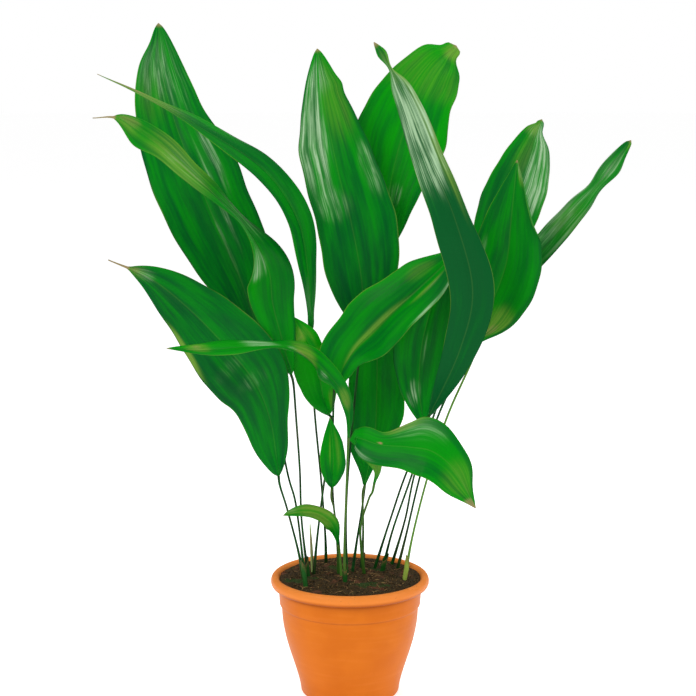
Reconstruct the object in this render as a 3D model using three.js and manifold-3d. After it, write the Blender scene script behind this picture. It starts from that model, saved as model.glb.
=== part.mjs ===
// A cast iron plant (Aspidistra) in a bell-shaped plastic pot.
// Millimetres, +Z up. The origin is the centre of the pot's underside.
// The leaves spread to -X and +X; the side that faces -Y is the front.

import * as THREE from 'three';
import { mergeVertices } from 'three/addons/utils/BufferGeometryUtils.js';
import Module from 'manifold-3d';

const wasm = await Module();
wasm.setup();

// ---- driving dimensions ----------------------------------------------------------------

const GAP = 0.3;                  // clearance between pieces that touch

const RIM_RADIUS = 100;           // outside of the rolled lip
const POT_HEIGHT = 153;
const LIP_HEIGHT = 14.5;
const LIP_WIDTH = 11;
const COLLAR_RADIUS = 90;         // at its top, just under the lip
const COLLAR_HEIGHT = 24;         // from under the lip down to the fine step
const COLLAR_FLARE = 1;           // how much narrower the collar is at its foot
const STEP_HEIGHT = 2;            // of the fine step between the bell and the collar
const SHOULDER_RADIUS = 86.4;     // of the bell, just under the step
const BASE_RADIUS = 62;
const BELL_SWELL = 0.82;          // under 1 the bell widens early, low down
const BASE_EDGE = 5;              // radius of the rounded bottom edge
const WALL = 3;
const POT_SIDES = 32;             // facets round the pot and the compost in it
const BELL_ROWS = 7;              // rings up the bell
const LIP_STEPS = 9;              // facets over the lip
const CORNER_STEPS = 3;           // facets round the bottom edge

const SOIL_TOP = 149;
const SOIL_CROWN = 1.5;           // the compost is this much higher in the middle

const RHIZOME_RADIUS = 6;
const RHIZOME_LEVEL = 110;        // height of a rhizome's centre line
const RHIZOME_STEP = 9;           // length of rhizome between two of its rings
const STALK_FOOT_LEVEL = RHIZOME_LEVEL + RHIZOME_RADIUS + 2 * GAP;

const STALK_SIDES = 8;
const STALK_STEP = 26;            // length of stalk between two of its rings
const BLADE_THICKNESS = 1.2;
const BLADE_ROWS = 18;            // rings along a blade
const BLADE_COLUMNS = 6;          // facets across a blade
const BASE_TAPER = 0.95;          // how evenly a blade widens from its base
const TIP_HALF_WIDTH = 0.6;       // where a blade runs out
const EDGE_WAVES = 3;             // waves along each edge of a blade
const EDGE_LAG = 2;               // radians that one edge's waves lag behind the other's
const STALK_RUN_IN = 14;          // last stretch of a stalk, straight in line with its blade
const END_CLEARANCE = 0.3;        // so that the stalk's flat end clears the blade's base

const SHEATH_WALL = 1.4;
const SHEATH_BURIED = 8;
const SHEATH_STEPS = 3;
const WELD_DISTANCE = 1e-4;       // points closer than this are one point

// ---- colours and finishes --------------------------------------------------------------

const finish = (color, roughness) => new THREE.MeshStandardMaterial({ color, roughness, metalness: 0 });

const POT_ORANGE = () => finish(0xe2762c, 0.42);
const SOIL_BROWN = () => finish(0x3a241a, 0.95);
const RHIZOME_TAN = () => finish(0x9a7f55, 0.8);
const STALK_GREEN = () => finish(0x1f4a1c, 0.5);
const SHEATH_GREEN = () => finish(0x35502a, 0.7);
const SHOOT_GREEN = () => finish(0x8fb06a, 0.55);

// ---- the leaves ------------------------------------------------------------------------
//
// foot     where the stalk leaves the soil, x and y
// stalk    points that the stalk passes on its way up
// midrib   the blade's centre line, from its base to its tip
// width    the blade's widest measure, and widest says how far along it lies (0 base, 1 tip)
// taper    1 for a plain point, less for a blunt tip, more for a drawn-out one
// faces    the direction that the upper side looks in, at the base, the middle and the tip
// fold     degrees that each half of the blade is raised from flat, along the midrib
// curl     how far the halves bend back towards flat (positive) or over (above 1)
// wave     height of the waves along the edges
// hair     share of the midrib that runs on past the blade as a dry thread
// neck     a waist: how far along it lies, how deep it is (0 to 1), and over what share
// bulge    a swelling: how far along, how many millimetres on each side, over what share
// edges    places where one edge runs out or in: which edge, how far along, by how much, over what share

const LEAVES = [
  {
    name: 'tall_left', foot: [-55, -42], stalk: [[-67, -16, 244], [-80, 6, 290]],
    midrib: [
      [-111, 40, 440], [-139, 56, 523], [-183, 85, 619], [-222, 120, 709], [-244, 152, 783],
      [-250, 180, 843],
    ],
    width: 127, widest: 0.46, faces: [[0.35, -1, 0.3], [0.3, -1, 0.25], [0.25, -1, 0.2]],
    taper: 0.75, fold: 16, curl: 0.5, wave: 1.5,
    edges: [[-1, 0.68, -11, 0.13], [-1, 0.4, -9, 0.12], [1, 0.93, -5, 0.05], [1, 0.5, -2, 0.15]],
    color: 0x0c6b26,
  },
  {
    name: 'upper_left', foot: [-31, 61], stalk: [[-32, 54, 191], [-37, 40, 267], [-45, 20, 366]],
    midrib: [
      [-48, 6, 464], [-52, -6, 540], [-65, -14, 606], [-107, -24, 667], [-175, -38, 713],
      [-241, -50, 751], [-297, -60, 778],
    ],
    width: 58, widest: 0.45, faces: [[1, -0.5, 0], [0.6, -0.5, 0.7], [0.4, -0.03, 0.9]],
    taper: 1.25, fold: 14, curl: 0.5, wave: 1.5,
    edges: [[-1, 0.6, -9, 0.09], [1, 0.2, 4, 0.1]],
    color: 0x12862f,
  },
  {
    name: 'left_arching', foot: [-53, 1], stalk: [[-61, 4, 222], [-63, 4, 287], [-67, -4, 354]],
    midrib: [
      [-73, -14, 412], [-84, -24, 459], [-94, -34, 503], [-98, -42, 542], [-111, -52, 576],
      [-135, -60, 610], [-159, -68, 637], [-194, -78, 671], [-231, -88, 706], [-266, -98, 728],
      [-297, -106, 728],
    ],
    width: 60, widest: 0.42, faces: [
      [0.5, -1, 0.1], [0.5, -1, 0.3], [0.7, -0.1, 0.75], [0.3, -0.8, 0.7], [0.2, -1, 0.5],
    ],
    taper: 0.6, fold: 14, curl: 0.6, wave: 1.5, hair: 0.06,
    edges: [[1, 0.86, 14, 0.06], [-1, 0.66, -9, 0.08], [1, 0.33, 8, 0.1], [-1, 0.25, 3, 0.15]],
    color: 0x148a30,
  },
  {
    name: 'low_left', foot: [-59, -10], stalk: [[-65, -8, 185], [-79, -9, 241]],
    midrib: [
      [-89, -12, 283], [-97, -24, 350], [-114, -38, 402], [-147, -56, 450], [-191, -76, 501],
      [-233, -94, 539], [-282, -110, 564],
    ],
    width: 101, widest: 0.42, faces: [[0.2, -1, 0.2], [0, -1, 0.35], [-0.2, -1, 0.6]],
    taper: 0.85, fold: 12, curl: 0.6, wave: 2, hair: 0.07,
    edges: [[-1, 0.82, 3, 0.12], [1, 0.8, 3, 0.1], [1, 0.25, -9, 0.12], [-1, 0.2, -18, 0.15]],
    color: 0x0f8a2c,
  },
  {
    name: 'pale_inner', foot: [-46, 11], stalk: [[-42, 18, 192], [-36, 22, 242]],
    midrib: [[-27, 14, 355], [-34, 11, 380], [-39, 4, 412], [-49, -5, 445], [-71, -12, 484]],
    width: 60, widest: 0.45, faces: [[0.2, -1, 0.3], [0, -1, 0.3], [0, -1, 0.3]],
    taper: 1, fold: 12, curl: 0.6, wave: 1,
    edges: [[-1, 0.3, -5, 0.15], [-1, 0.6, -12, 0.15]],
    color: 0x55b51f,
  },
  {
    name: 'front_level', foot: [-6, -26], stalk: [[-7, -26, 192], [-5, -28, 256]],
    midrib: [
      [-2, -30, 336], [-1, -36, 365], [-7, -42, 389], [-18, -50, 408], [-31, -60, 425],
      [-46, -72, 441], [-64, -88, 453], [-88, -108, 462], [-116, -130, 465], [-144, -148, 465],
      [-174, -164, 466], [-208, -182, 471],
    ],
    width: 58, widest: 0.6, faces: [
      [0.3, -1, 0.1], [0.5, -1, 0.2], [0.35, -0.5, 0.9], [0, -0.05, 1], [0, -0.28, 1],
      [0, -0.2, 1],
    ],
    taper: 0.8, fold: 12, curl: 0.6, wave: 1,
    edges: [[1, 0.24, -7, 0.07], [-1, 0.3, -3, 0.08], [-1, 0.58, -9, 0.08], [1, 0.58, -3, 0.07]],
    color: 0x2f8f35,
  },
  {
    name: 'centre_tall', foot: [-4, 2], stalk: [[-5, 12, 220], [-2, 20, 283], [6, 26, 372]],
    midrib: [
      [14, 26, 461], [15, 28, 518], [2, 36, 592], [-17, 48, 666], [-31, 64, 740],
      [-41, 80, 809],
    ],
    width: 111, widest: 0.38, faces: [[0, -1, 0.2], [0.1, -1, 0.15], [0.1, -1, 0.1]],
    taper: 0.75, fold: 14, curl: 0.5, wave: 1.5,
    edges: [[1, 0.4, -12, 0.2], [1, 0.66, 3, 0.05], [-1, 0.87, 3, 0.025]],
    color: 0x0d6f2b,
  },
  {
    name: 'back_broad', foot: [3, 22], stalk: [[9, 36, 187], [17, 51, 236], [26, 66, 312]],
    midrib: [
      [47, 68, 551], [48, 80, 614], [60, 100, 676], [80, 126, 732], [106, 152, 780],
      [139, 180, 814],
    ],
    width: 119, widest: 0.5, faces: [[0, -1, 0.2], [0, -1, 0.3], [0.1, -1, 0.4]],
    taper: 0.5, fold: 12, curl: 0.6, wave: 2,
    edges: [
      [1, 0.95, -7, 0.03], [-1, 0.94, -11, 0.04], [-1, 0.66, -8, 0.1], [1, 0.8, -4, 0.1],
      [-1, 0.3, -8, 0.15],
    ],
    color: 0x118c2c,
  },
  {
    name: 'upright_inner', foot: [16, 40], stalk: [[17, 38, 208]],
    midrib: [[19, 36, 260], [31, 43, 317], [34, 46, 375], [34, 47, 439], [30, 46, 509]],
    width: 72, widest: 0.55, faces: [[0, -1, 0.1], [0, -1, 0.1], [0, -1, 0.1]],
    taper: 0.9, fold: 18, curl: 0.3, wave: 1,
    edges: [[1, 0.19, 14, 0.12], [-1, 0.15, -4, 0.1], [-1, 0.35, 4, 0.1]],
    color: 0x129a24,
  },
  {
    name: 'front_centre', foot: [-13, 50], stalk: [[-15, 45, 185], [-22, 30, 255]],
    midrib: [
      [-16, -6, 396], [-9, -12, 418], [6, -20, 445], [27, -27, 468], [51, -32, 492],
      [75, -34, 513], [99, -33, 535], [117, -30, 553], [130, -26, 570],
    ],
    width: 84, widest: 0.38, faces: [[0.2, -1, 0.1], [-0.42, -1, 0.55], [-0.42, -1, 0.55]],
    taper: 0.8, fold: 28, curl: 0.4, wave: 1.5,
    edges: [
      [1, 0.12, 5, 0.1], [1, 0.27, -3, 0.1], [1, 0.78, 6, 0.15], [-1, 0.18, -17, 0.15],
      [-1, 0.78, 10, 0.18],
    ],
    color: 0x169a25,
  },
  {
    name: 'small_upright', foot: [-15, 14], stalk: [[-16, 12, 181], [-20, 8, 233]],
    midrib: [[-23, 0, 265], [-21, -4, 308], [-25, -2, 356]],
    width: 34, widest: 0.42, faces: [[0.1, -1, 0.1], [0.1, -1, 0.1], [0.1, -1, 0.1]],
    taper: 1.1, fold: 16, curl: 0.4, wave: 0.5,
    edges: [[-1, 0.5, -2, 0.2]],
    color: 0x2ba32b,
  },
  {
    name: 'small_low', foot: [-11, -4], stalk: [],
    midrib: [
      [-15, -3, 192], [-18, -8, 210], [-25, -14, 224], [-42, -24, 237], [-62, -36, 242],
      [-82, -50, 242],
    ],
    width: 32, widest: 0.6, faces: [
      [-0.6, -1, 0.3], [-0.3, -0.8, 0.8], [-0.2, -0.5, 1], [-0.1, -0.3, 1],
    ],
    taper: 0.9, fold: 12, curl: 0.5, wave: 0.5,
    color: 0x5fae25,
  },
  {
    name: 'front_drooping', foot: [18, 12], stalk: [[13, -8, 212], [23, -26, 256]],
    midrib: [
      [30, -40, 281], [33, -46, 298], [24, -55, 319], [12, -62, 335], [7, -70, 343],
      [14, -81, 345], [37, -92, 340], [70, -104, 340], [99, -114, 336], [126, -120, 313],
      [149, -122, 270],
    ],
    width: 70, widest: 0.62, faces: [[0, -1, 0.2], [0, -1, 0.3], [0, -1, 0.4], [0.3, -1, 0.3]],
    taper: 1, fold: 8, curl: 0.6, wave: 1,
    edges: [
      [-1, 0.13, 6, 0.05], [1, 0.26, -9.5, 0.06], [-1, 0.25, -14, 0.08], [1, 0.46, -14, 0.12],
      [-1, 0.52, -6, 0.1], [1, 0.62, 6, 0.08], [1, 0.76, -5, 0.07], [-1, 0.87, 6, 0.08],
      [1, 0.9, -6, 0.07],
    ],
    color: 0x2ba02b,
  },
  {
    name: 'striped_inner', foot: [31, 31], stalk: [[51, 26, 216], [73, 18, 284]],
    midrib: [[93, 6, 340], [86, 0, 396], [90, -4, 453], [106, -8, 516], [120, -10, 565]],
    width: 70, widest: 0.5, faces: [[-0.1, -1, 0.1], [-0.1, -1, 0.1], [-0.1, -1, 0.1]],
    taper: 0.9, fold: 12, curl: 0.5, wave: 1,
    color: 0x0e7a2a,
  },
  {
    name: 'long_twisted', foot: [41, 22], stalk: [[54, 8, 208], [78, -13, 288]],
    midrib: [
      [98, -38, 366], [132, -66, 451], [145, -84, 526], [122, -98, 612], [93, -106, 678],
      [64, -110, 749], [42, -112, 791], [27, -114, 814],
    ],
    width: 56, widest: 0.45, faces: [[-0.2, -1, 0.1], [-0.2, -1, 0.1], [0.2, -1, 0.2], [0.5, -1, 0.2]],
    taper: 0.7, fold: 14, curl: 0.5, wave: 1, neck: [0.93, 0.8, 0.03], bulge: [0.968, 1.8, 0.016],
    edges: [[-1, 0.55, -10, 0.13], [-1, 0.7, -3, 0.08]],
    color: 0x2f8f3c,
  },
  {
    name: 'right_broad', foot: [61, 36], stalk: [[72, 34, 195], [89, 26, 274], [110, 12, 353]],
    midrib: [[146, -4, 438], [170, -10, 491], [190, -18, 548], [195, -26, 604], [200, -36, 676]],
    width: 90, widest: 0.43, faces: [[-0.2, -1, 0.2], [-0.2, -1, 0.2], [-0.3, -1, 0.2]],
    taper: 1, fold: 14, curl: 0.5, wave: 1.5,
    edges: [[-1, 0.08, -9, 0.08]],
    color: 0x0f8a2c,
  },
  {
    name: 'upper_right', foot: [54, 54], stalk: [[71, 54, 209], [90, 50, 296]],
    midrib: [[158, 42, 497], [179, 60, 556], [201, 82, 607], [223, 106, 659], [247, 130, 720]],
    width: 79, widest: 0.52, faces: [[0.1, -1, 0.1], [0.1, -1, 0.2], [0.2, -1, 0.3]],
    taper: 0.6, fold: 14, curl: 0.5, wave: 1.5,
    edges: [[-1, 0.93, -9, 0.05], [1, 0.97, -4, 0.02]],
    color: 0x2b9a40,
  },
  {
    name: 'far_right', foot: [69, -8], stalk: [[79, -2, 204], [98, 8, 278], [122, 14, 353], [150, 22, 416]],
    midrib: [[178, 26, 476], [215, 36, 529], [258, 44, 580], [305, 52, 634], [351, 58, 696]],
    width: 45, widest: 0.55, faces: [[-0.3, -1, 0.3], [-0.65, -0.6, 0.6], [-0.65, -0.6, 0.6]],
    taper: 0.5, fold: 14, curl: 0.5, wave: 1, neck: [0.74, 0.4, 0.07],
    edges: [[-1, 0.85, 5, 0.05]],
    color: 0x2b9a35,
  },
];

const STALK_RADIUS = { small_upright: 1.5, small_low: 1.5, usual: 2 };

// The rootstocks creep through the compost under the stalks that they carry.
const RHIZOMES = {
  rhizome_left: [[-47, -56], [-52, -38], [-53, -12], [-49, 6], [-43, 36], [-31, 67]],
  rhizome_middle: [[-5, -38], [-6, -18], [-5, 0], [-8, 14], [-12, 30], [-12, 46], [-11, 62]],
  rhizome_inner: [[12, 54], [16, 40], [20, 26], [22, 12]],
  rhizome_right: [[34, 24], [37, 38], [46, 47], [55, 41], [61, 22], [63, -2], [62, -26]],
};

// Scale leaves that wrap a stalk where it leaves the compost, and how far they rise above it.
const SHEATHS = {
  tall_left: 32, left_arching: 26, front_level: 26, upright_inner: 22, long_twisted: 26, far_right: 30,
};

const YOUNG_SHOOT = { foot: [-47, 20], lean: [-4, -6], height: 72, radius: 2.2, narrowing: 0.85 };

// ---- curves and closed solids ----------------------------------------------------------

const vector = ([x, y, z]) => new THREE.Vector3(x, y, z);

const smoothCurve = (points) => new THREE.CatmullRomCurve3(points, false, 'catmullrom');

/**
 * Closes rings of points, all with the same count and turning the same way, into one solid.
 * The second half of a ring mirrors the first in how its quads are cut into triangles, so that
 * the two skins of a thin, twisted blade run side by side and don't cross.
 */
function solidFromRings(rings) {
  const count = rings[0].length;
  const positions = rings.flat().flatMap((point) => point.toArray());
  const indices = [];
  for (let row = 0; row + 1 < rings.length; row += 1) {
    for (let i = 0; i < count; i += 1) {
      const a = row * count + i;
      const b = row * count + ((i + 1) % count);
      if (i < count / 2) {
        indices.push(a, b, b + count, a, b + count, a + count);
      } else {
        indices.push(a, b, a + count, b, b + count, a + count);
      }
    }
  }
  // Each end is closed by strips from one side of its ring straight over to the other.
  const last = (rings.length - 1) * count;
  for (let i = 0; i < count / 2 - 1; i += 1) {
    const [a, b, c, d] = [i, i + 1, count - 2 - i, count - 1 - i];
    indices.push(a, c, b, a, d, c);
    indices.push(last + a, last + b, last + c, last + a, last + c, last + d);
  }
  const geometry = new THREE.BufferGeometry();
  geometry.setAttribute('position', new THREE.Float32BufferAttribute(positions, 3));
  geometry.setIndex(indices);
  return geometry;
}

/** A regular outline with a number of sides, round a circle's centre. */
function roundOutline(radius, sides) {
  const corners = Array.from({ length: sides }, (_, i) => {
    const angle = (2 * Math.PI * i) / sides;
    return new THREE.Vector2(radius * Math.cos(angle), radius * Math.sin(angle));
  });
  return new THREE.Shape(corners);
}

/** A rod of round section along a curve. */
function rod(curve, radius, sides, steps) {
  return new THREE.ExtrudeGeometry(roundOutline(radius, sides), { extrudePath: curve, steps });
}

/** A profile of radii and heights turned about the upright axis. */
function turned(profile, segments) {
  return new THREE.LatheGeometry(profile, segments).rotateX(0.5 * Math.PI);
}

/** A manifold solid from a closed geometry. */
function toSolid(geometry) {
  const bare = geometry.clone();
  for (const name of ['normal', 'uv', 'color']) {
    bare.deleteAttribute(name);
  }
  const merged = mergeVertices(bare, WELD_DISTANCE);
  return new wasm.Manifold(new wasm.Mesh({
    numProp: 3,
    vertProperties: new Float32Array(merged.attributes.position.array),
    triVerts: new Uint32Array(merged.index.array),
  }));
}

/** A geometry from a manifold solid. */
function toGeometry(solid) {
  const { vertProperties, triVerts } = solid.getMesh();
  const geometry = new THREE.BufferGeometry();
  geometry.setAttribute('position', new THREE.BufferAttribute(vertProperties, 3));
  geometry.setIndex(new THREE.BufferAttribute(triVerts, 1));
  return geometry;
}

// ---- pot -------------------------------------------------------------------------------

const COLLAR_TOP = POT_HEIGHT - LIP_HEIGHT;
const STEP_LEVEL = COLLAR_TOP - COLLAR_HEIGHT;

/** The bell's outside radius at a height: one slow swell from the base to the shoulder. */
function bellRadius(height) {
  const rise = (height / STEP_LEVEL) ** BELL_SWELL;
  return BASE_RADIUS + (SHOULDER_RADIUS - BASE_RADIUS) * (0.5 - 0.5 * Math.cos(Math.PI * rise));
}

/** Points up the bell, moved in by an offset, from just above the bottom edge to the step. */
function bellPoints(offset, firstLevel) {
  return Array.from({ length: BELL_ROWS + 1 }, (_, row) => {
    const height = THREE.MathUtils.lerp(firstLevel, STEP_LEVEL, row / BELL_ROWS);
    return new THREE.Vector2(bellRadius(height) - offset, height);
  });
}

/** A rounded corner between the flat underside, at a height, and the upright wall. */
function bottomEdge(offset, underside) {
  const centreRadius = bellRadius(BASE_EDGE + underside) - offset - BASE_EDGE;
  const centreHeight = underside + BASE_EDGE;
  const corner = new THREE.EllipseCurve(
    centreRadius, centreHeight, BASE_EDGE, BASE_EDGE, -0.5 * Math.PI, 0);
  return corner.getPoints(CORNER_STEPS).slice(0, -1);
}

/** The rolled lip, round from its underside over the crest to the inside. */
function lipPoints() {
  const centreRadius = RIM_RADIUS - LIP_WIDTH / 2;
  const centreHeight = POT_HEIGHT - LIP_HEIGHT / 2;
  const roll = new THREE.EllipseCurve(
    centreRadius, centreHeight, LIP_WIDTH / 2, LIP_HEIGHT / 2, -0.5 * Math.PI, Math.PI);
  return roll.getPoints(LIP_STEPS);
}

function potGeometry() {
  const outside = [
    new THREE.Vector2(0, 0),
    ...bottomEdge(0, 0),
    ...bellPoints(0, BASE_EDGE),
    new THREE.Vector2(COLLAR_RADIUS - COLLAR_FLARE, STEP_LEVEL + STEP_HEIGHT),
    new THREE.Vector2(COLLAR_RADIUS, COLLAR_TOP),
  ];
  const inside = [
    new THREE.Vector2(COLLAR_RADIUS - WALL, COLLAR_TOP - WALL),
    ...bellPoints(WALL, BASE_EDGE + WALL).reverse(),
    ...bottomEdge(WALL, WALL).reverse(),
    new THREE.Vector2(0, WALL),
  ];
  return turned([...outside, ...lipPoints(), ...inside], POT_SIDES);
}

// ---- leaves ----------------------------------------------------------------------------

/** A bump of height 1 at its middle, which fades out over a reach on both sides. */
const bell = (value, middle, reach) => Math.exp(-(((value - middle) / reach) ** 2));

/** Half the blade's width at a place along it: nearly a sine hump, widest where the leaf says. */
function halfWidth(leaf, along) {
  const place = Math.min(1, along / (1 - (leaf.hair ?? 0)));
  const shift = Math.log(0.5) / Math.log(leaf.widest);
  const fullness = THREE.MathUtils.lerp(BASE_TAPER, leaf.taper, place);
  let hump = Math.max(0, Math.sin(Math.PI * place ** shift)) ** fullness;
  if (leaf.neck) {
    const [middle, depth, reach] = leaf.neck;
    hump *= 1 - depth * bell(place, middle, reach);
  }
  const narrowest = THREE.MathUtils.lerp(stalkRadius(leaf), TIP_HALF_WIDTH, place);
  const [middle, swelling, reach] = leaf.bulge ?? [0, 0, 1];
  return hump * leaf.width / 2 + (1 - hump) * narrowest + swelling * bell(place, middle, reach);
}

/** How much further out one edge (-1 or 1) runs than half the width, at a place along it. */
function edgeChange(leaf, edge, along) {
  return (leaf.edges ?? [])
    .filter(([which]) => which === edge)
    .reduce((total, [, middle, size, reach]) => total + size * bell(along, middle, reach), 0);
}

/** How far a point across the blade (-1 to 1) stands above the midrib. */
function rise(leaf, along, across, half) {
  const slope = Math.tan(THREE.MathUtils.degToRad(leaf.fold));
  const side = Math.abs(across);
  const ripple = Math.sin(EDGE_WAVES * 2 * Math.PI * along + (across > 0 ? 0 : EDGE_LAG));
  const fade = 4 * along * (1 - along);
  return half * slope * (side - leaf.curl * side ** 2) + leaf.wave * fade * side ** 2 * ripple;
}

/** The blade's tangent, side and upward directions at a place along its midrib. */
function bladeFrame(midrib, faces, along) {
  const tangent = midrib.getTangentAt(along);
  const side = faces.getPoint(along).cross(tangent).normalize();
  const up = tangent.clone().cross(side);
  return { tangent, side, up };
}

/** One ring round the blade: along its lower side, then back along its upper side. */
function bladeRing(leaf, midrib, faces, along) {
  const { side, up } = bladeFrame(midrib, faces, along);
  const centre = midrib.getPointAt(along);
  const half = halfWidth(leaf, along);
  const point = (across, lift) => {
    const reach = Math.max(TIP_HALF_WIDTH, half + edgeChange(leaf, Math.sign(across), along));
    return centre.clone()
      .addScaledVector(side, across * reach)
      .addScaledVector(up, rise(leaf, along, across, reach) + lift);
  };
  const steps = Array.from({ length: BLADE_COLUMNS + 1 }, (_, i) => (2 * i) / BLADE_COLUMNS - 1);
  const lower = steps.map((across) => point(across, -BLADE_THICKNESS / 2));
  const upper = steps.map((across) => point(across, BLADE_THICKNESS / 2));
  return [...lower, ...upper.reverse()];
}

function bladeGeometry(leaf) {
  const midrib = smoothCurve(leaf.midrib.map(vector));
  const faces = smoothCurve(leaf.faces.map(vector));
  const rings = Array.from(
    { length: BLADE_ROWS + 1 }, (_, row) => bladeRing(leaf, midrib, faces, row / BLADE_ROWS));
  return solidFromRings(rings);
}

const stalkRadius = (leaf) => STALK_RADIUS[leaf.name] ?? STALK_RADIUS.usual;

/** The stalk's centre line, from just over its rootstock to just under its blade. */
function stalkCurve(leaf, depth = 0) {
  const midrib = smoothCurve(leaf.midrib.map(vector));
  const base = midrib.getPointAt(0);
  const direction = midrib.getTangentAt(0);
  const surface = new THREE.Vector3(...leaf.foot, SOIL_TOP);
  const above = [
    ...leaf.stalk.map(vector),
    base.clone().addScaledVector(direction, -STALK_RUN_IN),
    base.clone().addScaledVector(direction, -GAP - END_CLEARANCE),
  ];
  // In the compost it goes straight on down, at the slope that it comes out with.
  const slope = surface.clone().sub(above[0]);
  const drop = (SOIL_TOP - STALK_FOOT_LEVEL + depth) / -slope.z;
  return smoothCurve([surface.clone().addScaledVector(slope, drop), surface, ...above]);
}

function stalkGeometry(leaf, growth = 0) {
  const curve = stalkCurve(leaf, growth);
  const steps = Math.ceil(curve.getLength() / STALK_STEP);
  return rod(curve, stalkRadius(leaf) + growth, STALK_SIDES, steps);
}

// ---- sheaths and the young shoot -------------------------------------------------------

/** The stretch of a stalk that its sheath wraps, from inside the compost upwards. */
function sheathCurve(leaf) {
  const curve = stalkCurve(leaf);
  const length = curve.getLength();
  const buried = SOIL_TOP - STALK_FOOT_LEVEL - SHEATH_BURIED;
  const places = [0, 0.5, 1].map((part) => (buried + part * (SHEATH_BURIED + SHEATHS[leaf.name])) / length);
  return smoothCurve(places.map((place) => curve.getPointAt(place)));
}

function sheathGeometry(leaf, bore = true, growth = 0) {
  const inner = (stalkRadius(leaf) + GAP) / Math.cos(Math.PI / STALK_SIDES) + GAP;
  const section = roundOutline(inner + SHEATH_WALL + growth, STALK_SIDES);
  if (bore) {
    section.holes.push(roundOutline(inner, STALK_SIDES));
  }
  return new THREE.ExtrudeGeometry(section, { extrudePath: sheathCurve(leaf), steps: SHEATH_STEPS });
}

function shootCurve() {
  const { foot, lean, height } = YOUNG_SHOOT;
  return new THREE.LineCurve3(
    new THREE.Vector3(...foot, SOIL_TOP - SHEATH_BURIED),
    new THREE.Vector3(foot[0] + lean[0], foot[1] + lean[1], SOIL_TOP + height));
}

/** A rolled leaf bud: a round spear that narrows to its tip. */
function shootGeometry(growth = 0) {
  const curve = shootCurve();
  const rings = [0, 0.3, 0.6, 0.85, 1].map((along) => {
    const radius = (YOUNG_SHOOT.radius + growth) * (1 - YOUNG_SHOOT.narrowing * along ** 3);
    const centre = curve.getPointAt(along);
    return Array.from({ length: STALK_SIDES }, (_, i) => {
      const angle = (2 * Math.PI * i) / STALK_SIDES;
      return new THREE.Vector3(
        centre.x + radius * Math.cos(angle), centre.y + radius * Math.sin(angle), centre.z);
    });
  });
  return solidFromRings(rings);
}

// ---- compost and rootstocks ------------------------------------------------------------

function rhizomeGeometry(route, growth = 0) {
  const points = route.map(([x, y]) => new THREE.Vector3(x, y, RHIZOME_LEVEL));
  const ends = [points[0].clone().sub(points[1]), points.at(-1).clone().sub(points.at(-2))];
  points[0].addScaledVector(ends[0].normalize(), growth);
  points.at(-1).addScaledVector(ends[1].normalize(), growth);
  const curve = smoothCurve(points);
  const steps = Math.ceil(curve.getLength() / RHIZOME_STEP);
  return rod(curve, RHIZOME_RADIUS + growth, STALK_SIDES, steps);
}

/** The compost fills the pot and has a close hole for everything that stands or lies in it. */
function soilGeometry() {
  const inset = WALL + GAP;
  const lipInside = RIM_RADIUS - LIP_WIDTH - GAP;
  const profile = [
    new THREE.Vector2(0, inset),
    ...bottomEdge(inset, inset),
    ...bellPoints(inset, BASE_EDGE + inset),
    new THREE.Vector2(COLLAR_RADIUS - inset, COLLAR_TOP - WALL),
    new THREE.Vector2(lipInside, POT_HEIGHT - LIP_HEIGHT / 2),
    new THREE.Vector2(lipInside, SOIL_TOP),
    new THREE.Vector2(0.5 * RIM_RADIUS, SOIL_TOP + 0.75 * SOIL_CROWN),
    new THREE.Vector2(0, SOIL_TOP + SOIL_CROWN),
  ];
  let soil = toSolid(turned(profile, POT_SIDES));
  const buried = [
    ...Object.values(RHIZOMES).map((route) => rhizomeGeometry(route, GAP)),
    ...LEAVES.map((leaf) => stalkGeometry(leaf, GAP)),
    ...LEAVES.filter((leaf) => leaf.name in SHEATHS).map((leaf) => sheathGeometry(leaf, false, GAP)),
    shootGeometry(GAP),
  ];
  for (const geometry of buried) {
    soil = soil.subtract(toSolid(geometry));
  }
  return toGeometry(soil);
}

// ---- assembly --------------------------------------------------------------------------

function piece(name, geometry, material) {
  const mesh = new THREE.Mesh(geometry, material);
  mesh.name = name;
  return mesh;
}

const plant = new THREE.Group();

plant.add(piece('pot', potGeometry(), POT_ORANGE()));
plant.add(piece('soil', soilGeometry(), SOIL_BROWN()));

for (const [name, route] of Object.entries(RHIZOMES)) {
  plant.add(piece(name, rhizomeGeometry(route), RHIZOME_TAN()));
}

for (const leaf of LEAVES) {
  plant.add(piece(`stalk_${leaf.name}`, stalkGeometry(leaf), STALK_GREEN()));
  plant.add(piece(`blade_${leaf.name}`, bladeGeometry(leaf), finish(leaf.color, 0.4)));
  if (leaf.name in SHEATHS) {
    plant.add(piece(`sheath_${leaf.name}`, sheathGeometry(leaf), SHEATH_GREEN()));
  }
}

plant.add(piece('young_shoot', shootGeometry(), SHOOT_GREEN()));

export default plant;
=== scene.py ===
import math

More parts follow.
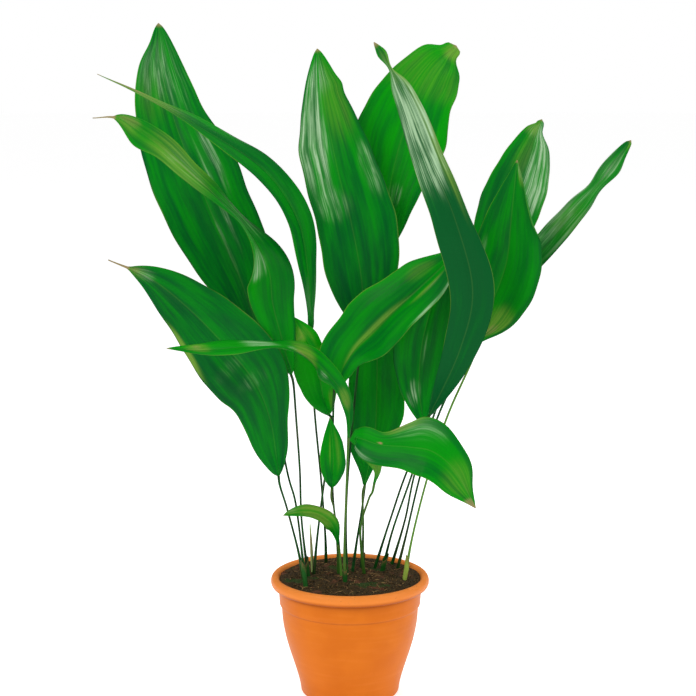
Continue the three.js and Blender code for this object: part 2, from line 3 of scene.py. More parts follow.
import bpy
import numpy as np
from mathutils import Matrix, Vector


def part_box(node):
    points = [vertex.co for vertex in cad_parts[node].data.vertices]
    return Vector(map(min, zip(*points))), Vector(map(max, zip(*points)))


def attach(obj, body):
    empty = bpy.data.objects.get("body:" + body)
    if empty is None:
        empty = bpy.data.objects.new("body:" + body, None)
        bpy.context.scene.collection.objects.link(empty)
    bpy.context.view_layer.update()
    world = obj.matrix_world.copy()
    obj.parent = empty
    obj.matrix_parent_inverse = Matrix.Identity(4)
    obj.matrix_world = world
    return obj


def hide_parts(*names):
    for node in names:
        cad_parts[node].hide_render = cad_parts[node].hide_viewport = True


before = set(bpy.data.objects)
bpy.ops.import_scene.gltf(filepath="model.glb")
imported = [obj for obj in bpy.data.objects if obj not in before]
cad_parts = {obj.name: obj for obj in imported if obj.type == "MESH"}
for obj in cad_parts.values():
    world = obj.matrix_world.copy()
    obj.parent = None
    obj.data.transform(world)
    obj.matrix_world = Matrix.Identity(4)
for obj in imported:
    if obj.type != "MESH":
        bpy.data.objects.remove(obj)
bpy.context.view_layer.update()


# ---- camera, floor and lights ------------------------------------------------------------
# A long lens looks slightly down on the plant from the front. The floor and the backdrop are
# plain and pale, and broad soft lamps stand to the left, to the right and overhead.

CAMERA_PLACE = (-0.0025, -2.1286, 0.7835)
CAMERA_TILT = math.radians(80.9)
CAMERA_LENS = 90
SENSOR_WIDTH = 36
FLOOR_SIZE = 60
FLOOR_SHADE = (0.93, 0.93, 0.93, 1)
BACKDROP_LIGHT = 0.55
GLOSS_LIGHT = 0.12
FLOOR_GLOW = 0.5

scene = bpy.context.scene
scene.view_settings.view_transform = "Standard"

camera = bpy.data.objects.new("camera", bpy.data.cameras.new("camera"))
camera.location = CAMERA_PLACE
camera.rotation_euler = (CAMERA_TILT, 0, 0)
camera.data.lens = CAMERA_LENS
camera.data.sensor_width = SENSOR_WIDTH
scene.collection.objects.link(camera)
scene.camera = camera


def softbox(name, place, aim, size, power):
    """A square lamp of a size in metres, at a place, turned to face a point."""
    lamp = bpy.data.objects.new(name, bpy.data.lights.new(name, "AREA"))
    lamp.data.size = size
    lamp.data.energy = power
    lamp.location = place
    lamp.rotation_euler = (Vector(aim) - Vector(place)).to_track_quat("-Z", "Y").to_euler()
    scene.collection.objects.link(lamp)


softbox("key_lamp", (-1.7, -1.9, 2.3), (0, 0, 0.45), 1.5, 52)
softbox("right_lamp", (2.2, -0.8, 1.5), (0, 0, 0.45), 1.6, 24)
softbox("top_lamp", (0.2, 0.6, 2.8), (0, 0, 0.3), 1.8, 30)

world = bpy.data.worlds.new("studio")
world.use_nodes = True
backdrop = world.node_tree.nodes["Background"]
backdrop.inputs["Color"].default_value = (1, 1, 1, 1)
light_path = world.node_tree.nodes.new("ShaderNodeLightPath")
dimmed = world.node_tree.nodes.new("ShaderNodeMath")      # its light, weaker where gloss mirrors it
dimmed.operation = "MULTIPLY_ADD"
dimmed.inputs[1].default_value = GLOSS_LIGHT - BACKDROP_LIGHT
dimmed.inputs[2].default_value = BACKDROP_LIGHT
strength = world.node_tree.nodes.new("ShaderNodeMath")    # seen straight, the backdrop is white
strength.operation = "MAXIMUM"
world.node_tree.links.new(light_path.outputs["Is Glossy Ray"], dimmed.inputs[0])
world.node_tree.links.new(dimmed.outputs[0], strength.inputs[0])
world.node_tree.links.new(light_path.outputs["Is Camera Ray"], strength.inputs[1])
world.node_tree.links.new(strength.outputs[0], backdrop.inputs["Strength"])
scene.world = world

floor_mesh = bpy.data.meshes.new("floor")
reach = FLOOR_SIZE / 2
floor_mesh.from_pydata([(-reach, -reach, 0), (reach, -reach, 0), (reach, reach, 0), (-reach, reach, 0)],
                       [], [(0, 1, 2, 3)])
floor = bpy.data.objects.new("floor", floor_mesh)
floor_paint = bpy.data.materials.new("floor")
floor_paint.use_nodes = True
floor_shader = floor_paint.node_tree.nodes["Principled BSDF"]
floor_shader.inputs["Base Color"].default_value = FLOOR_SHADE
floor_shader.inputs["Roughness"].default_value = 0.9
floor_shader.inputs["Specular IOR Level"].default_value = 0.1
floor_shader.inputs["Emission Color"].default_value = (1, 1, 1, 1)
floor_shader.inputs["Emission Strength"].default_value = FLOOR_GLOW
floor_mesh.materials.append(floor_paint)
scene.collection.objects.link(floor)


# ---- pot -----------------------------------------------------------------------------------
# A thin-walled bell of terracotta-coloured plastic, moulded in one piece: a rolled lip, a plain
# collar under it, a fine step, and a bell that narrows to a flat underside.

POT_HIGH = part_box("pot")[1]
RIM_RADIUS = POT_HIGH.x
POT_HEIGHT = POT_HIGH.z
LIP_HEIGHT = 0.0145
LIP_WIDTH = 0.011
COLLAR_RADIUS = 0.09
COLLAR_FLARE = 0.001
COLLAR_TOP = POT_HEIGHT - LIP_HEIGHT
STEP_LEVEL = COLLAR_TOP - 0.024
STEP_HEIGHT = 0.002
SHOULDER_RADIUS = 0.0864
BASE_RADIUS = 0.062
BASE_EDGE = 0.005
BELL_SWELL = 0.82
WALL = 0.003
POT_FACETS = 160
HUB = 0.0005

POT_ORANGE = (0.57, 0.138, 0.006, 1)
POT_DEEP_ORANGE = (0.53, 0.121, 0.004, 1)
# pale chalky orange of real rubbing and flow marks, also used for the painted highlight on the lip
POT_CHALK_AND_HIGHLIGHT = (0.80, 0.27, 0.06, 1)
# dark orange-brown of the painted shade under the lip and in the step
POT_PAINTED_SHADE = (0.24, 0.045, 0.004, 1)
DUST_BROWN = (0.16, 0.075, 0.035, 1)


class Finish:
    """One material in the making. Each method adds a node, joins it up and returns its outlet."""

    def __init__(self, name, **sockets):
        self.material = bpy.data.materials.new(name)
        self.material.use_nodes = True
        self.tree = self.material.node_tree
        self.shader = self.tree.nodes["Principled BSDF"]
        self.coat(**sockets)

    def add(self, kind, inputs, outlet=0, **settings):
        """A node of a kind; inputs pairs its sockets with values or with other nodes' outlets."""
        node = self.tree.nodes.new("ShaderNode" + kind)
        for name, value in settings.items():
            setattr(node, name, value)
        for socket, value in inputs.items():
            self.join(node.inputs[socket], value)
        return node.outputs[outlet]

    def join(self, socket, value):
        """Sets a socket, or links another node's outlet to it."""
        if isinstance(value, bpy.types.NodeSocket):
            self.tree.links.new(value, socket)
        else:
            socket.default_value = value

    def coat(self, **sockets):
        """Sets or links the shader's own sockets, such as Base_Color or Roughness."""
        for name, value in sockets.items():
            self.join(self.shader.inputs[name.replace("_", " ")], value)

    def place(self, stretch=(1, 1, 1)):
        """The piece's own coordinates in metres, each way scaled."""
        coordinates = self.add("TexCoord", {}, outlet="Object")
        return self.add("VectorMath", {0: coordinates, 1: stretch}, operation="MULTIPLY")

    def field(self, name):
        """A value that the mesh carries at its points."""
        return self.add("Attribute", {}, outlet="Fac", attribute_name=name)

    def noise(self, vector, scale, detail=3, roughness=0.5):
        return self.add("TexNoise", {"Vector": vector, "Scale": scale, "Detail": detail,
                                     "Roughness": roughness}, outlet="Fac")

    def math(self, operation, first, second=0.0):
        return self.add("Math", {0: first, 1: second}, operation=operation)

    def span(self, value, low, high, start=0.0, end=1.0):
        """A smooth step from start to end, while the value goes from low to high."""
        return self.add("MapRange", {"Value": value, "From Min": low, "From Max": high,
                                     "To Min": start, "To Max": end}, interpolation_type="SMOOTHSTEP")

    def mix(self, share, first, second):
        """A colour between two: all of the first at share 0, all of the second at 1."""
        return self.add("Mix", {0: share, 6: first, 7: second}, outlet=2, data_type="RGBA")

    def relief(self, height, depth, under=None):
        """A bumped surface: the height's light and dark stand for a depth in metres."""
        inputs = {"Height": height, "Distance": depth}
        if under is not None:
            inputs["Normal"] = under
        return self.add("Bump", inputs)


def ring_mesh(name, rings, material, **fields):
    """Joins closed rings of points, shaped (rings, points round, xyz), into one closed mesh.

    Each ring is joined to the next by four-sided faces, and each end ring is closed by a fan to
    its middle. A field holds one value a point, shaped like the rings, and is kept on the mesh.
    """
    count, around = rings.shape[:2]
    corner = np.arange(count * around).reshape(count, around)
    following = np.roll(corner, -1, axis=1)
    bands = np.stack([corner[:-1], following[:-1], following[1:], corner[1:]], axis=-1).reshape(-1, 4)
    first_middle = np.full(around, count * around)
    fans = np.vstack([np.stack([following[0], corner[0], first_middle], axis=-1),
                      np.stack([corner[-1], following[-1], first_middle + 1], axis=-1)])
    points = np.vstack([rings.reshape(-1, 3), rings[0].mean(axis=0), rings[-1].mean(axis=0)])
    mesh = bpy.data.meshes.new(name)
    mesh.from_pydata(points.tolist(), [], bands.tolist() + fans.tolist())
    mesh.shade_smooth()
    for field, values in fields.items():
        flat = np.broadcast_to(values, (count, around))
        closed = np.concatenate([flat.ravel(), [flat[0].mean(), flat[-1].mean()]])
        mesh.attributes.new(field, "FLOAT", "POINT").data.foreach_set("value", closed.astype(np.float32))
    mesh.materials.append(material)
    piece = bpy.data.objects.new(name, mesh)
    scene.collection.objects.link(piece)
    return piece


def turned_rings(radii, heights, facets):
    """A profile turned about the upright axis: x, y = radius times the cosine and sine of the turn."""
    turn = np.linspace(0, 2 * np.pi, facets, endpoint=False)
    radii, heights = np.asarray(radii)[:, None], np.asarray(heights)[:, None]
    return np.stack([radii * np.cos(turn), radii * np.sin(turn), heights + 0 * turn], axis=-1)


def bell_radius(height):
    """The bell's outside radius: half a cosine wave from the base's radius to the shoulder's."""
    swell = (height / STEP_LEVEL) ** BELL_SWELL
    return BASE_RADIUS + (SHOULDER_RADIUS - BASE_RADIUS) * (0.5 - 0.5 * np.cos(np.pi * swell))


def bell_profile(inset, floor_level):
    """Radii and heights up the bell, moved in by an inset: a rounded bottom edge, then the swell."""
    turn = np.linspace(-np.pi / 2, 0, 9)[:-1]
    edge_radius = bell_radius(floor_level + BASE_EDGE) - inset - BASE_EDGE
    heights = np.linspace(floor_level + BASE_EDGE, STEP_LEVEL, 44)
    radii = np.concatenate([edge_radius + BASE_EDGE * np.cos(turn), bell_radius(heights) - inset])
    return radii, np.concatenate([floor_level + BASE_EDGE + BASE_EDGE * np.sin(turn), heights])


def pot_profile():
    """Radii and heights from the middle of the underside, up the outside and over, to the inside."""
    outer_radii, outer_heights = bell_profile(0, 0)
    inner_radii, inner_heights = bell_profile(WALL, WALL)
    flat = np.linspace(HUB, outer_radii[0], 10)[:-1]
    inner_flat = np.linspace(inner_radii[0], HUB, 8)[1:]
    collar_heights = np.linspace(STEP_LEVEL + STEP_HEIGHT, COLLAR_TOP, 12)
    collar_radii = COLLAR_RADIUS - COLLAR_FLARE * np.linspace(1, 0, 12) ** 2
    roll = np.linspace(-np.pi / 2, np.pi, 40)
    lip_radii = RIM_RADIUS - LIP_WIDTH / 2 + LIP_WIDTH / 2 * np.cos(roll)
    lip_heights = POT_HEIGHT - LIP_HEIGHT / 2 + LIP_HEIGHT / 2 * np.sin(roll)
    radii = [flat, outer_radii, collar_radii, lip_radii, [COLLAR_RADIUS - WALL],
             inner_radii[::-1], inner_flat]
    heights = [0 * flat, outer_heights, collar_heights, lip_heights, [COLLAR_TOP - WALL],
               inner_heights[::-1], 0 * inner_flat + WALL]
    return np.concatenate(radii), np.concatenate(heights)


def pot_plastic():
    """Satin plastic: faint mottling, a moulded grain, chalky rubbing, compost dust, a painted highlight on
    the lip, and painted shade under the lip and in the step.
    """
    finish = Finish("pot_plastic", Specular_IOR_Level=0.1)
    spread = finish.place()
    mottling = finish.noise(spread, 26, detail=4)
    orange = finish.mix(finish.span(mottling, 0.3, 0.7), POT_DEEP_ORANGE, POT_ORANGE)
    flow = finish.noise(finish.place((14, 14, 160)), 1, detail=2)
    orange = finish.mix(finish.span(flow, 0.45, 0.8, 0, 0.08), orange, POT_CHALK_AND_HIGHLIGHT)
    height = finish.add("SeparateXYZ", {0: finish.add("TexCoord", {}, outlet="Object")}, outlet=2)
    rubbed_lip = finish.span(height, POT_HEIGHT - 0.006, POT_HEIGHT, 0, 0.4)
    rubbed_foot = finish.span(height, 0.012, 0.0, 0, 0.6)
    scuffs = finish.span(finish.noise(spread, 120, detail=5, roughness=0.7), 0.45, 0.7)
    rubbing = finish.math("MULTIPLY", finish.math("MAXIMUM", rubbed_lip, rubbed_foot), scuffs)
    orange = finish.mix(rubbing, orange, POT_CHALK_AND_HIGHLIGHT)
    # painted highlight: the rolled lip is made paler all over, as if lit from above
    painted_lip_highlight = finish.span(height, COLLAR_TOP + 0.001, COLLAR_TOP + 0.007, 0, 0.45)
    orange = finish.mix(painted_lip_highlight, orange, POT_CHALK_AND_HIGHLIGHT)
    # painted shade: a dark band where the lip overhangs the collar, and a fainter one in the step's groove
    for level, reach, strength in ((COLLAR_TOP, 0.006, 0.75), (STEP_LEVEL, 0.0015, 0.35)):
        distance = finish.math("ABSOLUTE", finish.math("SUBTRACT", height, level))
        orange = finish.mix(finish.span(distance, reach, 0, 0, strength), orange, POT_PAINTED_SHADE)
    specks = finish.span(finish.noise(spread, 420, detail=2), 0.68, 0.74)
    dusty = finish.math("MULTIPLY", specks, finish.span(height, POT_HEIGHT - 0.02, POT_HEIGHT, 0, 0.55))
    finish.coat(Base_Color=finish.mix(dusty, orange, DUST_BROWN),
                Roughness=finish.span(mottling, 0.2, 0.8, 0.34, 0.5),
                Normal=finish.relief(finish.noise(spread, 900, detail=2), 0.00012))
    return finish.material


pot = ring_mesh("pot_moulding", turned_rings(*pot_profile(), POT_FACETS), pot_plastic())
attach(pot, "root")
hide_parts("pot")


# ---- compost -------------------------------------------------------------------------------
# Peaty potting compost fills the pot to just under the rim. Its top is crumbly, with loose lumps,
# bark chips and pale fibres lying on it, and it is heaped a little in the middle.

SOIL_TOP = 0.149
SOIL_CROWN = 0.0015
SOIL_EDGE_CALM = 0.6                                # how much flatter its lumps are at the wall
SOIL_RADIUS = RIM_RADIUS - LIP_WIDTH - 0.0003
SOIL_INSET = WALL + 0.0003
SOIL_FACETS = 200
LUMP_SIZES = ((0.014, 0.0011), (0.006, 0.0010), (0.0026, 0.0008))    # spacing and height of its lumps
CRUMB_COUNT = 1500
CRUMB_SIZES = (0.0006, 0.0024)
CRUMB_MARGIN = 0.003
FIBRE_COUNT = 70
FIBRE_LENGTHS = (0.002, 0.008)                      # half the length of the shortest and the longest
FIBRE_MARGIN = 0.012
FIBRE_LIFT = 0.0007
FIBRE_ARCH = 0.0008
FIBRE_RADII = (0.00022, 0.00034)                    # at its ends and in its middle

PEAT_BROWN = (0.060, 0.034, 0.010, 1)
PEAT_BLACK = (0.012, 0.009, 0.003, 1)
BARK_RED = (0.11, 0.036, 0.018, 1)
FIBRE_TAN = (0.34, 0.22, 0.085, 1)
MOSS_GREEN = (0.012, 0.050, 0.006, 1)

chance = np.random.default_rng(7)


def lumpy(x, y, spacing, heights):
    """Smooth lumps: a square lattice of random heights, blended between points by s = t^2 (3 - 2t)."""
    column, row = x / spacing + 64, y / spacing + 64
    left, low = np.floor(column).astype(int), np.floor(row).astype(int)
    s, t = column - left, row - low
    s, t = s * s * (3 - 2 * s), t * t * (3 - 2 * t)
    near = heights[left, low] * (1 - s) + heights[left + 1, low] * s
    far = heights[left, low + 1] * (1 - s) + heights[left + 1, low + 1] * s
    return near * (1 - t) + far * t


lattices = [chance.uniform(-1, 1, (128, 128)) for _ in LUMP_SIZES]


def soil_height(x, y):
    """The compost's top: a low crown that falls with the square of the radius, and three sizes of lump."""
    radius = np.hypot(x, y) / SOIL_RADIUS
    lumps = sum(depth * lumpy(x, y, spacing, lattice)
                for (spacing, depth), lattice in zip(LUMP_SIZES, lattices))
    edge = 1 - SOIL_EDGE_CALM * np.clip(radius, 0, 1) ** 8
    return SOIL_TOP + SOIL_CROWN * (1 - radius**2) + lumps * edge


def soil_rings():
    """Rings from the middle of the underside, up the pot's inside, and over the lumpy top to its middle."""
    wall_radii, wall_heights = bell_profile(SOIL_INSET, SOIL_INSET)
    flat = np.linspace(HUB, wall_radii[0], 6)[:-1]
    radii = np.concatenate([flat, wall_radii, [COLLAR_RADIUS - SOIL_INSET, SOIL_RADIUS]])
    heights = np.concatenate([0 * flat + SOIL_INSET, wall_heights,
                              [COLLAR_TOP - WALL, POT_HEIGHT - LIP_HEIGHT / 2]])
    top_radii = np.linspace(SOIL_RADIUS, HUB, 80)
    rings = turned_rings(np.concatenate([radii, top_radii]),
                         np.concatenate([heights, 0 * top_radii]), SOIL_FACETS)
    top = rings[len(radii):]
    top[..., 2] = soil_height(top[..., 0], top[..., 1])
    return rings


def compost_finish(name, paleness):
    """Damp peat with reddish bark, moss and tan fibre in it; paleness shifts it towards dry crumbs."""
    finish = Finish(name, Specular_IOR_Level=0.2, Roughness=0.92)
    spread = finish.place()
    grain = finish.noise(spread, 420, detail=4, roughness=0.7)
    brown = finish.mix(finish.span(grain, 0.35, 0.65 - paleness), PEAT_BLACK, PEAT_BROWN)
    red = finish.span(finish.noise(spread, 34, detail=2), 0.56, 0.66, 0, 0.75)
    brown = finish.mix(red, brown, BARK_RED)
    moss = finish.span(finish.noise(finish.place((1, 1.3, 1)), 22, detail=3), 0.58, 0.68, 0, 0.8)
    brown = finish.mix(moss, brown, MOSS_GREEN)
    flecks = finish.span(finish.noise(spread, 560, detail=2, roughness=0.8), 0.66 - paleness, 0.72)
    finish.coat(Base_Color=finish.mix(flecks, brown, FIBRE_TAN),
                Normal=finish.relief(grain, 0.0008))
    return finish.material


compost = ring_mesh("compost", soil_rings(), compost_finish("compost", 0.0))
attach(compost, "root")
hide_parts("soil")


def loose_piece(name, points, faces, material):
    """One mesh of many small closed shapes: points are (copies, points each, xyz), faces one shape's."""
    copies, each = points.shape[:2]
    every = np.asarray(faces)[None] + each * np.arange(copies)[:, None, None]
    mesh = bpy.data.meshes.new(name)
    mesh.from_pydata(points.reshape(-1, 3).tolist(), [], every.reshape(-1, every.shape[-1]).tolist())
    mesh.materials.append(material)
    piece = bpy.data.objects.new(name, mesh)
    scene.collection.objects.link(piece)
    return piece


def twelve_points():
    """A regular solid of twenty triangles: its corners are the cyclic turns of (0, 1, golden ratio)."""
    golden = (1 + 5**0.5) / 2
    corners = [np.roll((0, a, b * golden), turn) for turn in range(3) for a in (-1, 1) for b in (-1, 1)]
    corners = np.array(corners) / np.hypot(1, golden)
    side = np.linalg.norm(corners[:, None] - corners[None], axis=-1)
    near = (side > 0.1) & (side < 1.2)
    faces = [(a, b, c) for a in range(12) for b in range(a + 1, 12) for c in range(b + 1, 12)
             if near[a, b] and near[b, c] and near[a, c]]
    outward = [np.dot(np.cross(corners[b] - corners[a], corners[c] - corners[a]), corners[a]) > 0
               for a, b, c in faces]
    return corners, [face if out else face[::-1] for face, out in zip(faces, outward)]


def crumbs():
    """Lumps of peat and bark: jittered twenty-sided solids, squashed, turned and strewn over the top."""
    corners, faces = twelve_points()
    turn = chance.uniform(0, 2 * np.pi, CRUMB_COUNT)
    out = (SOIL_RADIUS - CRUMB_MARGIN) * np.sqrt(chance.uniform(0, 1, CRUMB_COUNT))
    x, y = out * np.cos(turn), out * np.sin(turn)
    size = CRUMB_SIZES[0] + (CRUMB_SIZES[1] - CRUMB_SIZES[0]) * chance.uniform(0, 1, CRUMB_COUNT) ** 3
    stretch = size[:, None] * chance.uniform((0.7, 0.45, 0.35), (1.6, 0.9, 0.7), (CRUMB_COUNT, 3))
    jitter = chance.uniform(0.75, 1.2, (CRUMB_COUNT, 12, 1))
    shape = corners[None] * jitter * stretch[:, None]
    spin = chance.uniform(0, 2 * np.pi, CRUMB_COUNT)[:, None]
    tilt = 0.5 * chance.uniform(-1, 1, (CRUMB_COUNT, 1))
    turned = np.stack([shape[..., 0] * np.cos(spin) - shape[..., 1] * np.sin(spin),
                       shape[..., 0] * np.sin(spin) + shape[..., 1] * np.cos(spin),
                       shape[..., 2] + shape[..., 0] * tilt], axis=-1)
    seat = np.stack([x, y, soil_height(x, y) + 0.25 * size], axis=-1)
    return turned + seat[:, None], faces


def unit(vectors):
    return vectors / np.linalg.norm(vectors, axis=-1, keepdims=True)


def tube_rings(line, tangents, radius, facets, towards=(0, -1, 0)):
    """Rings round a line: centre + radius (cos t a + sin t b), where a is as near to a direction as can be.

    radius is one number, one a ring, or one for each ring and facet.
    """
    a = unit(towards - tangents * (tangents @ np.array(towards, float))[:, None])
    b = np.cross(tangents, a)
    turn = np.linspace(0, 2 * np.pi, facets, endpoint=False)[None, :, None]
    radius = np.broadcast_to(np.asarray(radius, float).reshape(-1, 1) if np.ndim(radius) < 2 else radius,
                             (len(line), facets))[..., None]
    return line[:, None] + radius * (np.cos(turn) * a[:, None] + np.sin(turn) * b[:, None])


def fibres():
    """Thin curved threads of bark and root: five-sided, bowed by a parabola, lying on the crumbs."""
    steps, facets = 6, 5
    along = np.linspace(-1, 1, steps)
    turn = chance.uniform(0, 2 * np.pi, FIBRE_COUNT)
    out = (SOIL_RADIUS - FIBRE_MARGIN) * np.sqrt(chance.uniform(0, 1, FIBRE_COUNT))
    heading = chance.uniform(0, 2 * np.pi, FIBRE_COUNT)
    half = chance.uniform(*FIBRE_LENGTHS, FIBRE_COUNT)
    bow = half * chance.uniform(-0.4, 0.4, FIBRE_COUNT)
    shapes = []
    for place, angle, length, bend, way in zip(out, turn, half, bow, heading):
        forward, sideways = length * along, bend * (1 - along**2)
        x = place * np.cos(angle) + forward * np.cos(way) - sideways * np.sin(way)
        y = place * np.sin(angle) + forward * np.sin(way) + sideways * np.cos(way)
        arch = 1 - along**2
        line = np.stack([x, y, soil_height(x, y) + FIBRE_LIFT + FIBRE_ARCH * arch], axis=-1)
        thin = FIBRE_RADII[0] + (FIBRE_RADII[1] - FIBRE_RADII[0]) * arch
        rings = tube_rings(line, unit(np.gradient(line, axis=0)), thin, facets, (0, 0, 1))
        shapes.append(rings.reshape(-1, 3))
    bands = [(facets * i + j, facets * i + (j + 1) % facets, facets * (i + 1) + (j + 1) % facets,
              facets * (i + 1) + j) for i in range(steps - 1) for j in range(facets)]
    last = facets * (steps - 1)
    ends = [(0, j + 1, j) for j in range(1, facets - 1)]
    ends += [(last, last + j, last + j + 1) for j in range(1, facets - 1)]
    triangles = [corner for a, b, c, d in bands for corner in ((a, b, c), (a, c, d))]
    return np.array(shapes), triangles + ends


def fibre_finish():
    """Dry bark thread: tan with darker joints."""
    finish = Finish("fibre", Roughness=0.85, Specular_IOR_Level=0.2)
    grain = finish.noise(finish.place(), 300, detail=3)
    finish.coat(Base_Color=finish.mix(finish.span(grain, 0.35, 0.65), BARK_RED, FIBRE_TAN),
                Normal=finish.relief(grain, 0.0002))
    return finish.material


for name, (points, faces), material in (("compost_crumbs", crumbs(), compost_finish("crumb", 0.07)),
                                        ("compost_fibres", fibres(), fibre_finish())):
    litter = loose_piece(name, points, faces, material)
    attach(litter, "root")


# ---- rootstocks ----------------------------------------------------------------------------
# Four creeping rootstocks as thick as a pencil lie buried in the compost, and every stalk grows
# from one of them. They are ringed with the scars of old scale leaves.

ROOT_TAN = (0.30, 0.19, 0.08, 1)
ROOT_BROWN = (0.12, 0.062, 0.026, 1)


def rootstock_bark():
    """Fibrous bark with dark rings a few millimetres apart."""
    finish = Finish("rootstock", Roughness=0.85, Specular_IOR_Level=0.25)
    spread = finish.place()
    rings = finish.span(finish.noise(finish.place((30, 260, 30)), 1, detail=3), 0.4, 0.6)
    fibres_in_it = finish.noise(spread, 500, detail=4)
    finish.coat(Base_Color=finish.mix(rings, ROOT_BROWN, ROOT_TAN),
                Normal=finish.relief(fibres_in_it, 0.0006, finish.relief(rings, 0.0012)))
    return finish.material


root_bark = rootstock_bark()
for node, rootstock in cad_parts.items():
    if node.startswith("rhizome_"):
        rootstock.material_slots[0].material = root_bark


# ---- the leaves' lines ---------------------------------------------------------------------
# Eighteen leaves, each one stalk and one blade that were grown together. Lengths here are
# millimetres, and the shapes repeat the leaf table in the part's own source. The points of stalks
# and midribs were traced by eye, and a separate camera script turned them into millimetres.
#
# foot, stalk      where the stalk leaves the compost, and points that it passes on its way up
# midrib           the blade's centre line, from its base to its tip
# width, widest    the blade's widest measure, and how far along it that lies (0 base, 1 tip)
# taper            1 for a plain point, less for a blunt tip, more for a drawn-out one
# faces            directions that the upper side looks in, evenly from the base to the tip
# fold, curl, wave   degrees that each half is raised, how it bends back, and its edge's waves
# hair             the share of the midrib that runs on past the tip as a dry thread
# neck, bulge      a waist, as a share of the half width, and a swelling, in millimetres: (how far
#                  along, how much, over what share)
# edges            bumps and dents in an edge: (which edge, how far along, size, over what share); the
#                  edge is 1 for the left one, looking at the upper side with the tip up, or else -1
# roll             an edge rolled over: (which edge, from, to, share of the half rolled)
# tone_and_shade   the green at the base, the middle and the tip: deep at 0 or less, bright at 1;
#                  partly the leaf's own green and partly painted shade and light
# painted_sheen, olive, brown   patches of pale painted sheen, yellowish and dry patches, each
#                               (across, along, reach across, reach along, strength), where across
#                               runs from -1 to 1

MM = 0.001

